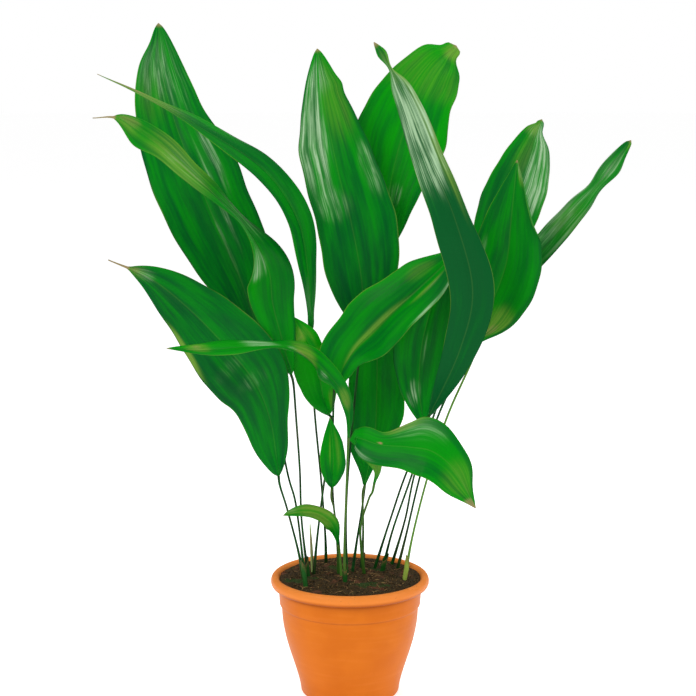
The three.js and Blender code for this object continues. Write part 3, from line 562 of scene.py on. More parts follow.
LEAVES = {
    "tall_left": dict(
        foot=(-55, -42), stalk=[(-67, -16, 244), (-80, 6, 290)],
        midrib=[(-111, 40, 440), (-139, 56, 523), (-183, 85, 619), (-222, 120, 709), (-244, 152, 783),
                (-250, 180, 843)],
        width=127, widest=0.46, taper=0.75, fold=16, curl=0.5, wave=1.5,
        faces=[(0.35, -1, 0.3), (0.3, -1, 0.25), (0.25, -1, 0.2)],
        edges=[(-1, 0.68, -11, 0.13), (-1, 0.4, -9, 0.12), (1, 0.93, -5, 0.05), (1, 0.5, -2, 0.15)],
        tone_and_shade=(0.22, 0.4, 0.4),
        painted_sheen=[(0.4, 0.86, 0.7, 0.1, 0.35), (-0.55, 0.57, 0.12, 0.13, 0.55),
               (-0.28, 0.45, 0.07, 0.17, 0.5), (0, 0.3, 0.05, 0.12, 0.45),
               (-0.3, 0.85, 0.7, 0.14, 0.25)],
        olive=[(0.5, 0.78, 0.5, 0.1, 0.25)],
    ),
    "upper_left": dict(
        foot=(-31, 61), stalk=[(-32, 54, 191), (-37, 40, 267), (-45, 20, 366)],
        midrib=[(-48, 6, 464), (-52, -6, 540), (-65, -14, 606), (-107, -24, 667), (-175, -38, 713),
                (-241, -50, 751), (-297, -60, 778)],
        width=58, widest=0.45, taper=1.25, fold=14, curl=0.5, wave=1.5,
        faces=[(1, -0.5, 0), (0.6, -0.5, 0.7), (0.4, -0.03, 0.9)],
        edges=[(-1, 0.6, -9, 0.09), (1, 0.2, 4, 0.1)],
        tone_and_shade=(0.42, 0.42, 0.42),
        painted_sheen=[(0, 0.82, 2, 0.12, 0.2), (-0.95, 0.6, 0.15, 0.05, 0.6)],
        olive=[(0, 0.92, 2, 0.16, 0.9)],
        brown=[(-0.5, 0.95, 0.8, 0.1, 0.6)],
    ),
    "left_arching": dict(
        foot=(-53, 1), stalk=[(-61, 4, 222), (-63, 4, 287), (-67, -4, 354)],
        midrib=[(-73, -14, 412), (-84, -24, 459), (-94, -34, 503), (-98, -42, 542), (-111, -52, 576),
                (-135, -60, 610), (-159, -68, 637), (-194, -78, 671), (-231, -88, 706),
                (-266, -98, 728), (-297, -106, 728)],
        width=60, widest=0.42, taper=0.6, fold=14, curl=0.6, wave=1.5, hair=0.06,
        faces=[(0.5, -1, 0.1), (0.5, -1, 0.3), (0.7, -0.1, 0.75), (0.3, -0.8, 0.7), (0.2, -1, 0.5)],
        edges=[(1, 0.86, 14, 0.06), (-1, 0.66, -9, 0.08), (1, 0.33, 8, 0.1), (-1, 0.25, 3, 0.15)],
        tone_and_shade=(0.55, 0.6, 0.6),
        painted_sheen=[(0.5, 0.36, 0.6, 0.05, 0.8), (0, 0.5, 1, 0.1, 0.4), (0.2, 0.7, 1, 0.08, 0.3)],
        olive=[(0, 0.72, 2, 0.12, 0.7), (0.2, 0.92, 1, 0.06, 0.5)],
        brown=[(-0.3, 0.9, 0.8, 0.04, 0.4)],
    ),
    "low_left": dict(
        foot=(-59, -10), stalk=[(-65, -8, 185), (-79, -9, 241)],
        midrib=[(-89, -12, 283), (-97, -24, 350), (-114, -38, 402), (-147, -56, 450), (-191, -76, 501),
                (-233, -94, 539), (-282, -110, 564)],
        width=101, widest=0.42, taper=0.85, fold=12, curl=0.6, wave=2, hair=0.07,
        faces=[(0.2, -1, 0.2), (0, -1, 0.35), (-0.2, -1, 0.6)],
        edges=[(-1, 0.82, 3, 0.12), (1, 0.8, 3, 0.1), (1, 0.25, -9, 0.12), (-1, 0.2, -18, 0.15)],
        tone_and_shade=(0.22, 0.24, 0.28),
        painted_sheen=[(0, 0.36, 0.5, 0.03, 0.25), (0.3, 0.45, 0.5, 0.03, 0.2), (-0.1, 0.88, 0.6, 0.04, 0.6)],
        olive=[(0.95, 0.6, 0.12, 0.12, 0.9), (0, 0.93, 1, 0.06, 0.7)],
        brown=[(-0.2, 0.91, 0.6, 0.02, 0.35)],
    ),
    "pale_inner": dict(
        foot=(-46, 11), stalk=[(-42, 18, 192), (-36, 22, 242)],
        midrib=[(-27, 14, 355), (-34, 11, 380), (-39, 4, 412), (-49, -5, 445), (-71, -12, 484)],
        width=60, widest=0.45, taper=1, fold=12, curl=0.6, wave=1,
        faces=[(0.2, -1, 0.3), (0, -1, 0.3), (0, -1, 0.3)],
        edges=[(-1, 0.3, -5, 0.15), (-1, 0.6, -12, 0.15)],
        tone_and_shade=(0.55, 0.95, 1),
        olive=[(-0.6, 0.5, 0.35, 0.14, 0.9), (0.3, 0.82, 0.5, 0.08, 0.8), (-0.6, 0.15, 0.3, 0.1, 0.5),
               (-0.5, 0.8, 0.3, 0.12, 0.4)],
        brown=[(0.4, 0.8, 0.25, 0.03, 0.4)],
    ),
    "front_level": dict(
        foot=(-6, -26), stalk=[(-7, -26, 192), (-5, -28, 256)],
        midrib=[(-2, -30, 336), (-1, -36, 365), (-7, -42, 389), (-18, -50, 408), (-31, -60, 425),
                (-46, -72, 441), (-64, -88, 453), (-88, -108, 462), (-116, -130, 465),
                (-144, -148, 465), (-174, -164, 466), (-208, -182, 471)],
        width=58, widest=0.6, taper=0.8, fold=12, curl=0.6, wave=1,
        faces=[(0.3, -1, 0.1), (0.5, -1, 0.2), (0.35, -0.5, 0.9), (0, -0.05, 1), (0, -0.28, 1),
               (0, -0.2, 1)],
        edges=[(1, 0.24, -7, 0.07), (-1, 0.3, -3, 0.08), (-1, 0.58, -9, 0.08), (1, 0.58, -3, 0.07)],
        tone_and_shade=(0.45, 0.6, 0.7),
        painted_sheen=[(-0.3, 0.62, 0.6, 0.08, 0.7), (0.4, 0.31, 0.4, 0.03, 0.5), (0.2, 0.48, 0.6, 0.03, 0.5)],
        olive=[(0, 0.16, 0.8, 0.05, 0.8), (0.1, 0.42, 1, 0.06, 0.9), (-0.2, 0.88, 0.8, 0.05, 0.7)],
        brown=[(0.2, 0.45, 0.35, 0.03, 0.6), (0, 0.14, 0.4, 0.02, 0.3), (-0.4, 0.88, 0.4, 0.02, 0.4)],
    ),
    "centre_tall": dict(
        foot=(-4, 2), stalk=[(-5, 12, 220), (-2, 20, 283), (6, 26, 372)],
        midrib=[(14, 26, 461), (15, 28, 518), (2, 36, 592), (-17, 48, 666), (-31, 64, 740),
                (-41, 80, 809)],
        width=111, widest=0.38, taper=0.75, fold=14, curl=0.5, wave=1.5,
        faces=[(0, -1, 0.2), (0.1, -1, 0.15), (0.1, -1, 0.1)],
        edges=[(1, 0.4, -12, 0.2), (1, 0.66, 3, 0.05), (-1, 0.87, 3, 0.025)],
        tone_and_shade=(0.1, 0.4, 0.6),
        painted_sheen=[(0.6, 0.7, 0.5, 0.2, 1), (-0.8, 0.55, 0.25, 0.1, 0.5), (0.4, 0.45, 0.5, 0.06, 0.4),
               (0.2, 0.9, 0.7, 0.07, 0.5)],
        olive=[(-0.4, 0.82, 0.6, 0.16, 0.45)],
    ),
    "back_broad": dict(
        foot=(3, 22), stalk=[(9, 36, 187), (17, 51, 236), (26, 66, 312)],
        midrib=[(47, 68, 551), (48, 80, 614), (60, 100, 676), (80, 126, 732), (106, 152, 780),
                (139, 180, 814)],
        width=119, widest=0.5, taper=0.5, fold=12, curl=0.6, wave=2,
        faces=[(0, -1, 0.2), (0, -1, 0.3), (0.1, -1, 0.4)],
        edges=[(1, 0.95, -7, 0.03), (-1, 0.94, -11, 0.04), (-1, 0.66, -8, 0.1), (1, 0.8, -4, 0.1),
               (-1, 0.3, -8, 0.15)],
        tone_and_shade=(0.4, 0.68, 0.68),
        painted_sheen=[(-0.2, 0.25, 0.25, 0.05, 0.4)],
        olive=[(-0.3, 0.97, 1, 0.05, 0.9), (0, 0.8, 2, 0.12, 0.35)],
    ),
    "upright_inner": dict(
        foot=(16, 40), stalk=[(17, 38, 208)],
        midrib=[(19, 36, 260), (31, 43, 317), (34, 46, 375), (34, 47, 439), (30, 46, 509)],
        width=72, widest=0.55, taper=0.9, fold=18, curl=0.3, wave=1,
        faces=[(0, -1, 0.1), (0, -1, 0.1), (0, -1, 0.1)],
        edges=[(1, 0.19, 14, 0.12), (-1, 0.15, -4, 0.1), (-1, 0.35, 4, 0.1)],
        tone_and_shade=(0.42, 0.45, 0.45),
    ),
    "front_centre": dict(
        foot=(-13, 50), stalk=[(-15, 45, 185), (-22, 30, 255)],
        midrib=[(-16, -6, 396), (-9, -12, 418), (6, -20, 445), (27, -27, 468), (51, -32, 492),
                (75, -34, 513), (99, -33, 535), (117, -30, 553), (130, -26, 570)],
        width=84, widest=0.38, taper=0.8, fold=28, curl=0.4, wave=1.5,
        faces=[(0.2, -1, 0.1), (-0.42, -1, 0.55), (-0.42, -1, 0.55)],
        edges=[(1, 0.12, 5, 0.1), (1, 0.27, -3, 0.1), (1, 0.78, 6, 0.15), (-1, 0.18, -17, 0.15),
               (-1, 0.78, 10, 0.18)],
        tone_and_shade=(0.45, 0.5, 0.4),
        painted_sheen=[(-0.35, 0.78, 0.06, 0.1, 0.5), (-0.95, 0.75, 0.1, 0.18, 0.8)],
        olive=[(0, 0.38, 0.12, 0.28, 0.75), (-0.3, 0.75, 0.1, 0.12, 0.7), (0.5, 0.78, 0.3, 0.1, 0.4)],
    ),
    "small_upright": dict(
        foot=(-15, 14), stalk=[(-16, 12, 181), (-20, 8, 233)],
        midrib=[(-23, 0, 265), (-21, -4, 308), (-25, -2, 356)],
        width=34, widest=0.42, taper=1.1, fold=16, curl=0.4, wave=0.5,
        faces=[(0.1, -1, 0.1), (0.1, -1, 0.1), (0.1, -1, 0.1)],
        edges=[(-1, 0.5, -2, 0.2)],
        tone_and_shade=(0.35, 0.6, 0.55),
        olive=[(-0.45, 0.55, 0.25, 0.3, 0.5), (0.25, 0.55, 0.08, 0.25, 0.6)],
    ),
    "small_low": dict(
        foot=(-11, -4), stalk=[],
        midrib=[(-15, -3, 192), (-18, -8, 210), (-25, -14, 224), (-42, -24, 237), (-62, -36, 242),
                (-82, -50, 242)],
        width=32, widest=0.6, taper=0.9, fold=12, curl=0.5, wave=0.5,
        faces=[(-0.6, -1, 0.3), (-0.3, -0.8, 0.8), (-0.2, -0.5, 1), (-0.1, -0.3, 1)],
        tone_and_shade=(0.55, 1, 1),
        painted_sheen=[(-0.6, 0.85, 0.5, 0.1, 0.5)],
        olive=[(0, 0.55, 2, 0.28, 1), (-0.5, 0.9, 0.8, 0.1, 0.7)],
        brown=[(-0.95, 0.4, 0.1, 0.3, 0.5)],
    ),
    "front_drooping": dict(
        foot=(18, 12), stalk=[(13, -8, 212), (23, -26, 256)],
        midrib=[(30, -40, 281), (33, -46, 298), (24, -55, 319), (12, -62, 335), (7, -70, 343),
                (14, -81, 345), (37, -92, 340), (70, -104, 340), (99, -114, 336), (126, -120, 313),
                (149, -122, 270)],
        width=70, widest=0.62, taper=1, fold=8, curl=0.6, wave=1,
        faces=[(0, -1, 0.2), (0, -1, 0.3), (0, -1, 0.4), (0.3, -1, 0.3)],
        edges=[(-1, 0.13, 6, 0.05), (1, 0.26, -9.5, 0.06), (-1, 0.25, -14, 0.08), (1, 0.46, -14, 0.12),
               (-1, 0.52, -6, 0.1), (1, 0.62, 6, 0.08), (1, 0.76, -5, 0.07), (-1, 0.87, 6, 0.08),
               (1, 0.9, -6, 0.07)],
        tone_and_shade=(0.45, 0.45, 0.5),
        painted_sheen=[(-0.85, 0.34, 0.13, 0.08, 0.7), (0.7, 0.6, 0.4, 0.11, 0.4)],
        olive=[(0.9, 0.53, 0.2, 0.1, 0.8), (0, 0.86, 1, 0.1, 0.4), (0, 0.1, 2, 0.07, 0.6)],
        brown=[(0.12, 0.43, 0.1, 0.013, 0.9), (0.95, 0.52, 0.12, 0.05, 0.4),
               (-0.5, 0.97, 0.8, 0.03, 0.7)],
    ),
    "striped_inner": dict(
        foot=(31, 31), stalk=[(51, 26, 216), (73, 18, 284)],
        midrib=[(93, 6, 340), (86, 0, 396), (90, -4, 453), (106, -8, 516), (120, -10, 565)],
        width=70, widest=0.5, taper=0.9, fold=12, curl=0.5, wave=1,
        faces=[(-0.1, -1, 0.1), (-0.1, -1, 0.1), (-0.1, -1, 0.1)],
        tone_and_shade=(0.4, 0.45, 0.5),
        painted_sheen=[(0.2, 0.22, 0.3, 0.06, 0.5), (0.5, 0.17, 0.3, 0.05, 0.4), (-0.1, 0.45, 0.1, 0.1, 0.3)],
    ),
    "long_twisted": dict(
        foot=(41, 22), stalk=[(54, 8, 208), (78, -13, 288)],
        midrib=[(98, -38, 366), (132, -66, 451), (145, -84, 526), (122, -98, 612), (93, -106, 678),
                (64, -110, 749), (42, -112, 791), (27, -114, 814)],
        width=56, widest=0.45, taper=0.7, fold=14, curl=0.5, wave=1,
        neck=(0.93, 0.8, 0.03), bulge=(0.968, 1.8, 0.016),
        faces=[(-0.2, -1, 0.1), (-0.2, -1, 0.1), (0.2, -1, 0.2), (0.5, -1, 0.2)],
        edges=[(-1, 0.55, -10, 0.13), (-1, 0.7, -3, 0.08)],
        tone_and_shade=(-0.05, -0.35, 0.45),
        painted_sheen=[(0.1, 0.78, 1.6, 0.15, 1.25)],
        olive=[(-0.8, 0.75, 0.35, 0.2, 0.9), (0, 0.93, 1, 0.05, 0.5)],
    ),
    "right_broad": dict(
        foot=(61, 36), stalk=[(72, 34, 195), (89, 26, 274), (110, 12, 353)],
        midrib=[(146, -4, 438), (170, -10, 491), (190, -18, 548), (195, -26, 604), (200, -36, 676)],
        width=90, widest=0.43, taper=1, fold=14, curl=0.5, wave=1.5, roll=(-1, 0.62, 1, 0.3),
        faces=[(-0.2, -1, 0.2), (-0.2, -1, 0.2), (-0.3, -1, 0.2)],
        edges=[(-1, 0.08, -9, 0.08)],
        tone_and_shade=(0.5, 0.4, 0.4),
        painted_sheen=[(-0.8, 0.95, 0.4, 0.05, 0.4), (0.75, 0.55, 0.1, 0.08, 0.3)],
        olive=[(-0.5, 0.2, 0.4, 0.1, 0.9), (-0.7, 0.93, 0.4, 0.06, 0.6)],
        brown=[(-0.55, 0.15, 0.2, 0.05, 0.5)],
    ),
    "upper_right": dict(
        foot=(54, 54), stalk=[(71, 54, 209), (90, 50, 296)],
        midrib=[(158, 42, 497), (179, 60, 556), (201, 82, 607), (223, 106, 659), (247, 130, 720)],
        width=79, widest=0.52, taper=0.6, fold=14, curl=0.5, wave=1.5,
        faces=[(0.1, -1, 0.1), (0.1, -1, 0.2), (0.2, -1, 0.3)],
        edges=[(-1, 0.93, -9, 0.05), (1, 0.97, -4, 0.02)],
        tone_and_shade=(0.4, 0.4, 0.45),
        painted_sheen=[(-0.55, 0.75, 0.5, 0.25, 1.2), (0.1, 0.93, 0.7, 0.05, 0.5)],
        olive=[(0.4, 0.95, 0.8, 0.05, 0.7), (0.2, 0.8, 0.4, 0.15, 0.4)],
    ),
    "far_right": dict(
        foot=(69, -8), stalk=[(79, -2, 204), (98, 8, 278), (122, 14, 353), (150, 22, 416)],
        midrib=[(178, 26, 476), (215, 36, 529), (258, 44, 580), (305, 52, 634), (351, 58, 696)],
        width=45, widest=0.55, taper=0.5, fold=14, curl=0.5, wave=1, neck=(0.74, 0.4, 0.07),
        faces=[(-0.3, -1, 0.3), (-0.65, -0.6, 0.6), (-0.65, -0.6, 0.6)],
        edges=[(-1, 0.85, 5, 0.05)],
        tone_and_shade=(0.4, 0.45, 0.5),
        painted_sheen=[(0, 0.6, 2, 0.3, 0.35), (0.9, 0.6, 0.15, 0.3, 0.4), (0, 0.88, 2, 0.08, 0.25)],
        olive=[(0, 0.55, 2, 0.1, 0.3), (-0.8, 0.98, 0.5, 0.03, 0.8)],
    ),
}


def smooth_curve(points, places):
    """A curve through points, read at places from 0 to 1.

    It is the uniform Catmull-Rom cubic, whose slope at each point is half the step from the point
    before it to the point after it.
    """
    points = np.asarray(points, float)
    padded = np.vstack([2 * points[0] - points[1], points, 2 * points[-1] - points[-2]])
    position = np.clip(places, 0, 1) * (len(points) - 1)
    step = np.minimum(position.astype(int), len(points) - 2)
    w = (position - step)[:, None]
    before, start, end, after = (padded[step + i] for i in range(4))
    return 0.5 * (2 * start + (end - before) * w
                  + (2 * before - 5 * start + 4 * end - after) * w**2
                  + (3 * start - before - 3 * end + after) * w**3)


def even_line(points, spacing):
    """Points evenly spaced along the smooth curve, the tangents at them, and the curve's length."""
    fine = smooth_curve(points, np.linspace(0, 1, 801))
    travelled = np.concatenate([[0], np.cumsum(np.linalg.norm(np.diff(fine, axis=0), axis=1))])
    wanted = np.linspace(0, travelled[-1], max(6, round(travelled[-1] / spacing)) + 1)
    line = np.stack([np.interp(wanted, travelled, fine[:, axis]) for axis in range(3)], axis=-1)
    return line, unit(np.gradient(line, axis=0)), travelled[-1]


# ---- stalks --------------------------------------------------------------------------------
# Wiry stalks, channelled on the side that the leaf faces and finely ridged. They come up through
# the compost from the rootstocks and swell a little where they leave it and where a blade begins.

STALK_FOOT = 0.1166
STALK_RUN_IN = 0.014
STALK_OVERLAP = 0.001
STALK_FACETS = 18
STALK_SPACING = 0.003
STALK_THIN = 0.00135
STALK_SWOLLEN = 0.0021
STALK_END = 0.0017
FOOT_SWELLING = 0.035
END_SWELLING = 0.016
CHANNEL_DEPTH = 0.22
CHANNEL_WIDTH = 0.12
RIDGE_DEPTH = 0.03
RIDGE_COUNT = 9
SLIM_STALKS = ("small_upright", "small_low")
SLIMNESS = 0.75

STALK_GREEN = (0.004, 0.080, 0.006, 1)
STALK_DARK = (0.003, 0.028, 0.005, 1)
STALK_BROWN = (0.055, 0.032, 0.014, 1)
STALK_LIGHT = (0.10, 0.24, 0.025, 1)


def stalk_line(leaf):
    """The stalk's centre line: straight up through the compost, past its points, and into the blade."""
    base, just_past = smooth_curve(leaf["midrib"], np.array([0, 0.002])) * MM
    heading = unit(just_past - base)
    surface = np.array([*leaf["foot"], SOIL_TOP / MM]) * MM
    above = [np.array(point) * MM for point in leaf["stalk"]] + [base - STALK_RUN_IN * heading]
    slope = surface - above[0]
    foot = surface + slope * (SOIL_TOP - STALK_FOOT) / -slope[2]
    return even_line([foot, surface, *above, base + STALK_OVERLAP * heading], STALK_SPACING)


def stalk_radius(name, line):
    """Thick at the compost, thin above it, swelling again close under the blade, as two bell curves."""
    above_soil = (line[:, 2] - SOIL_TOP) / FOOT_SWELLING
    to_blade = np.linalg.norm(line - line[-1], axis=1) / END_SWELLING
    radius = (STALK_THIN + (STALK_SWOLLEN - STALK_THIN) * np.exp(-np.maximum(above_soil, 0) ** 2)
              + (STALK_END - STALK_THIN) * np.exp(-to_blade**2))
    return radius * (SLIMNESS if name in SLIM_STALKS else 1)


def stalk_finish():
    """Green with darker and brownish lengths, streaked lengthwise; some stalks are paler than others."""
    finish = Finish("stalk", Roughness=0.42, Specular_IOR_Level=0.12)
    streaks = finish.noise(finish.place((700, 700, 16)), 1, detail=3)
    patches = finish.noise(finish.place((9, 9, 14)), 1, detail=2)
    green = finish.mix(finish.span(streaks, 0.35, 0.65), STALK_DARK, STALK_GREEN)
    green = finish.mix(finish.span(patches, 0.5, 0.66, 0, 0.5), green, STALK_BROWN)
    green = finish.mix(finish.field("paleness"), green, STALK_LIGHT)
    finish.coat(Base_Color=green, Normal=finish.relief(streaks, 0.00025))
    return finish.material


stalk_skin = stalk_finish()
PALE_STALKS = {"far_right": 0.9, "front_level": 0.45, "front_drooping": 0.35, "small_low": 0.6,
               "upright_inner": 0.3, "small_upright": 0.3}

for name, leaf in LEAVES.items():
    line, tangents, _ = stalk_line(leaf)
    turn = np.linspace(0, 2 * np.pi, STALK_FACETS, endpoint=False)
    channel = 1 - CHANNEL_DEPTH * np.exp(-((1 - np.cos(turn)) / CHANNEL_WIDTH) ** 2)
    channel = channel + RIDGE_DEPTH * np.cos(RIDGE_COUNT * turn)
    radius = stalk_radius(name, line)[:, None] * channel
    rings = tube_rings(line, tangents, radius, STALK_FACETS)
    stalk = ring_mesh(f"stalk_{name}_grown", rings, stalk_skin, paleness=PALE_STALKS.get(name, 0.0))
    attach(stalk, "root")
    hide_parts(f"stalk_{name}")


# ---- sheaths -------------------------------------------------------------------------------
# Scale leaves: short papery sleeves that wrap six of the stalks where they leave the compost,
# cut off aslant at the top and a little open there.

SHEATH_HEIGHTS = {"tall_left": 32, "left_arching": 26, "front_level": 26, "upright_inner": 22,
                  "long_twisted": 26, "far_right": 30}
SHEATH_BURIED = 0.008
SHEATH_PAPER = 0.0004
SHEATH_FACETS = 28
SHEATH_ROWS = 16
SHEATH_ROOM = 0.0004
SHEATH_SLANT = 0.2
MOUTH_SPREAD = 0.0010
SHEATH_RIPPLE = 0.00008

SHEATH_GREEN = (0.008, 0.080, 0.008, 1)
SHEATH_YELLOW = (0.25, 0.36, 0.05, 1)
SHEATH_DRY = (0.13, 0.09, 0.03, 1)


def sheath_rings(name, leaf, height):
    """A sleeve round the stalk: out and up to a slanted mouth, over its edge, and down inside.

    Its mouth is highest on one side, by a cosine round it, and opens with the square of the height.
    """
    line, tangents, _ = stalk_line(leaf)
    risen = line[:, 2] - SOIL_TOP
    turn = np.linspace(0, 2 * np.pi, SHEATH_FACETS, endpoint=False)
    mouth = height * (1 - SHEATH_SLANT + SHEATH_SLANT * np.cos(turn + len(name)))
    share = np.linspace(0, 1, SHEATH_ROWS)[:, None]
    levels = -SHEATH_BURIED + share * (mouth + SHEATH_BURIED)
    along = np.interp(levels, risen, np.arange(len(line)))
    step = np.minimum(along.astype(int), len(line) - 2)
    part = (along - step)[..., None]
    centre = line[step] * (1 - part) + line[step + 1] * part
    a = unit(np.cross((0, 1, 0), tangents[step]))
    b = np.cross(tangents[step], a)
    snug = stalk_radius(name, line)[step] + SHEATH_ROOM
    opening = MOUTH_SPREAD * np.maximum(levels, 0) ** 2 / height**2
    spread = snug + opening + SHEATH_RIPPLE * np.sin(7 * turn)
    way = np.cos(turn)[None, :, None] * a + np.sin(turn)[None, :, None] * b
    outside = centre + way * (spread + SHEATH_PAPER)[..., None]
    inside = centre + way * spread[..., None]
    return np.concatenate([outside, inside[::-1]]), np.concatenate([share, share[::-1]])


def sheath_finish():
    """Thin sleeve: green below, drying to straw at its mouth, with fine lengthwise ribs."""
    finish = Finish("sheath", Roughness=0.6, Specular_IOR_Level=0.12)
    ribs = finish.noise(finish.place((900, 900, 20)), 1, detail=3)
    green = finish.mix(finish.field("paleness"), SHEATH_GREEN, SHEATH_YELLOW)
    dry = finish.math("MULTIPLY", finish.span(finish.field("share"), 0.7, 1.0), finish.span(ribs, 0.3, 0.6))
    finish.coat(Base_Color=finish.mix(dry, green, SHEATH_DRY), Normal=finish.relief(ribs, 0.0004))
    return finish.material


sheath_skin = sheath_finish()
for name, height in SHEATH_HEIGHTS.items():
    rings, share = sheath_rings(name, LEAVES[name], height * MM)
    sheath = ring_mesh(f"sheath_{name}_grown", rings, sheath_skin, share=share,
                       paleness=1.0 if name == "far_right" else 0.0)
    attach(sheath, "root")
    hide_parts(f"sheath_{name}")


# ---- blades --------------------------------------------------------------------------------
# Leathery blades, each folded a little along a grooved midrib and pleated lengthwise by its veins.
# The upper side is glossy, with pale patches of painted sheen; the underside is paler and has a raised rib.

ROW_SPACING = 0.004
PLEAT_WIDTH = 0.008
COLUMNS_A_PLEAT = 6
PLEAT_HEIGHT = 0.00008
PLEAT_SWAY = 0.8
PLEAT_SWAY_PACE = 5
BUCKLE_HEIGHT = 0.0011
BUCKLE_WIDTH = 0.016
BUCKLE_STRETCH = 2.6
BASE_TAPER = 0.95
TIP_HALF_WIDTH = 0.0005
HAIR_RADIUS = 0.00035
EDGE_WAVES = 3
EDGE_LAG = 2
UNEVENNESS = ((0.010, 19, 5), (0.007, 47, -3))      # share of the half width, pace along, lag by side
SETTLING = 0.06
MIDRIB_CLEARING = 0.08
HALF_THICKNESS = 0.00036
EDGE_THICKNESS = 0.00012
GROOVE_DEPTH = 0.0004
GROOVE_WIDTH = 0.0014
RIB_FADE = 0.7
RIB_FLANK = 0.0004
ROLL_TURN = 2.5
ROUND_BASE = 0.016
DRY_TIP_SHARE = 0.012

LEAF_DEEP = (0.0005, 0.070, 0.013, 1)
LEAF_BRIGHT = (0.0005, 0.240, 0.0005, 1)
LEAF_SHADOW = (0.001, 0.032, 0.006, 1)
# pale grey-green of the painted sheen, standing for light glancing off the glossy upper side
LEAF_PAINTED_SHEEN = (0.30, 0.46, 0.27, 1)
LEAF_OLIVE = (0.16, 0.29, 0.035, 1)
LEAF_DRY = (0.27, 0.19, 0.09, 1)
LEAF_UNDER = (0.030, 0.21, 0.030, 1)
LEAF_RIB = (0.14, 0.30, 0.06, 1)


buckles = chance.uniform(-1, 1, (128, 128))


def bell(value, middle, reach):
    """A bump of height 1 at the middle that fades with the square of the distance."""
    return np.exp(-((value - middle) / reach) ** 2)


def half_width(leaf, along, base_radius):
    """Half the blade's width: a sine hump to a power, with its waist and swelling, then the dry thread."""
    end = 1 - leaf.get("hair", 0)
    place = np.clip(along / end, 0, 1)
    shift = math.log(0.5) / math.log(leaf["widest"])
    fullness = BASE_TAPER + (leaf["taper"] - BASE_TAPER) * place
    hump = np.maximum(0, np.sin(np.pi * place**shift)) ** fullness
    if "neck" in leaf:
        middle, depth, reach = leaf["neck"]
        hump = hump * (1 - depth * bell(place, middle, reach))
    narrowest = base_radius + (TIP_HALF_WIDTH - base_radius) * place
    half = hump * leaf["width"] * MM / 2 + (1 - hump) * narrowest
    if "bulge" in leaf:
        middle, size, reach = leaf["bulge"]
        half = half + size * MM * bell(place, middle, reach)
    return np.maximum(half, HAIR_RADIUS)


def edge_shape(leaf, along, across, half):
    """The half width at each point: every edge bump adds its size to its own side, as a bell curve."""
    uneven = sum(size * np.sin(pace * along + lag * np.sign(across)) for size, pace, lag in UNEVENNESS)
    bumps = sum(size * MM * bell(along, place, reach) * (edge * across > 0)
                for edge, place, size, reach in leaf.get("edges", []))
    return np.maximum(half * (1 + uneven) + bumps, HAIR_RADIUS)


def blade_sheet(leaf, line, tangents, along, across, half, order):
    """The blade's middle surface: across the midrib by the half width, raised by fold, waves and pleats.

    The fold rises by its slope and bends back with the square of the distance from the midrib. A
    rolled edge leaves that plane on a circle, by R sin(turn) outwards and R (1 - cos(turn)) upwards.
    """
    facing = smooth_curve(leaf["faces"], along[:, 0])
    side = unit(np.cross(facing, tangents))[:, None]
    up = np.cross(tangents[:, None], side)
    distance = np.abs(across)
    half = edge_shape(leaf, along, across, half)
    offset = half * across
    slope = math.tan(math.radians(leaf["fold"]))
    settled = 1 - bell(along, 0, SETTLING)
    lift = half * slope * (distance - leaf["curl"] * distance**2) * settled
    fade = 4 * along * (1 - along)
    ripple = np.sin(EDGE_WAVES * 2 * np.pi * along + np.where(across > 0, 0, EDGE_LAG))
    lift = lift + leaf["wave"] * MM * fade * distance**2 * ripple
    fullness = np.clip(half / (4 * PLEAT_WIDTH), 0, 1)
    pleat = np.cos(np.pi * leaf["pleats"] * across + PLEAT_SWAY * np.sin(PLEAT_SWAY_PACE * along))
    lift = lift + PLEAT_HEIGHT * fullness * pleat * (1 - bell(across, 0, MIDRIB_CLEARING))
    run = np.linalg.norm(np.diff(line, axis=0), axis=1).sum() * along / BUCKLE_STRETCH
    buckle = lumpy(run + 0 * across, offset, BUCKLE_WIDTH, np.roll(buckles, 7 * order, axis=0))
    lift = lift + BUCKLE_HEIGHT * buckle * fade * fullness
    lift = lift - GROOVE_DEPTH * fade * bell(offset, 0, GROOVE_WIDTH)
    if "roll" in leaf:
        edge, start, end, depth = leaf["roll"]
        middle, reach = (start + end) / 2, (end - start) / 2
        depth = depth * np.clip(1 - ((along - middle) / reach) ** 2, 0, 1) + 1e-4
        turn = ROLL_TURN * np.clip((edge * across - (1 - depth)) / depth, 0, 1)
        radius = half * depth / ROLL_TURN
        rolled = edge * (half * (1 - depth) + radius * np.sin(turn))
        offset = np.where(turn > 0, rolled, offset)
        lift = lift + radius * (1 - np.cos(turn))
    return line[:, None] + offset[..., None] * side + lift[..., None] * up


def patches(leaf, kind, across, along):
    """The strength of one kind of patch at each point: soft-edged ovals, exp(-(squared distance)^2)."""
    total = 0 * across * along
    for middle, spot, reach, extent, strength in leaf.get(kind, []):
        distance = ((across - middle) / reach) ** 2 + ((along - spot) / extent) ** 2
        total = total + strength * np.exp(-distance**2)
    return total


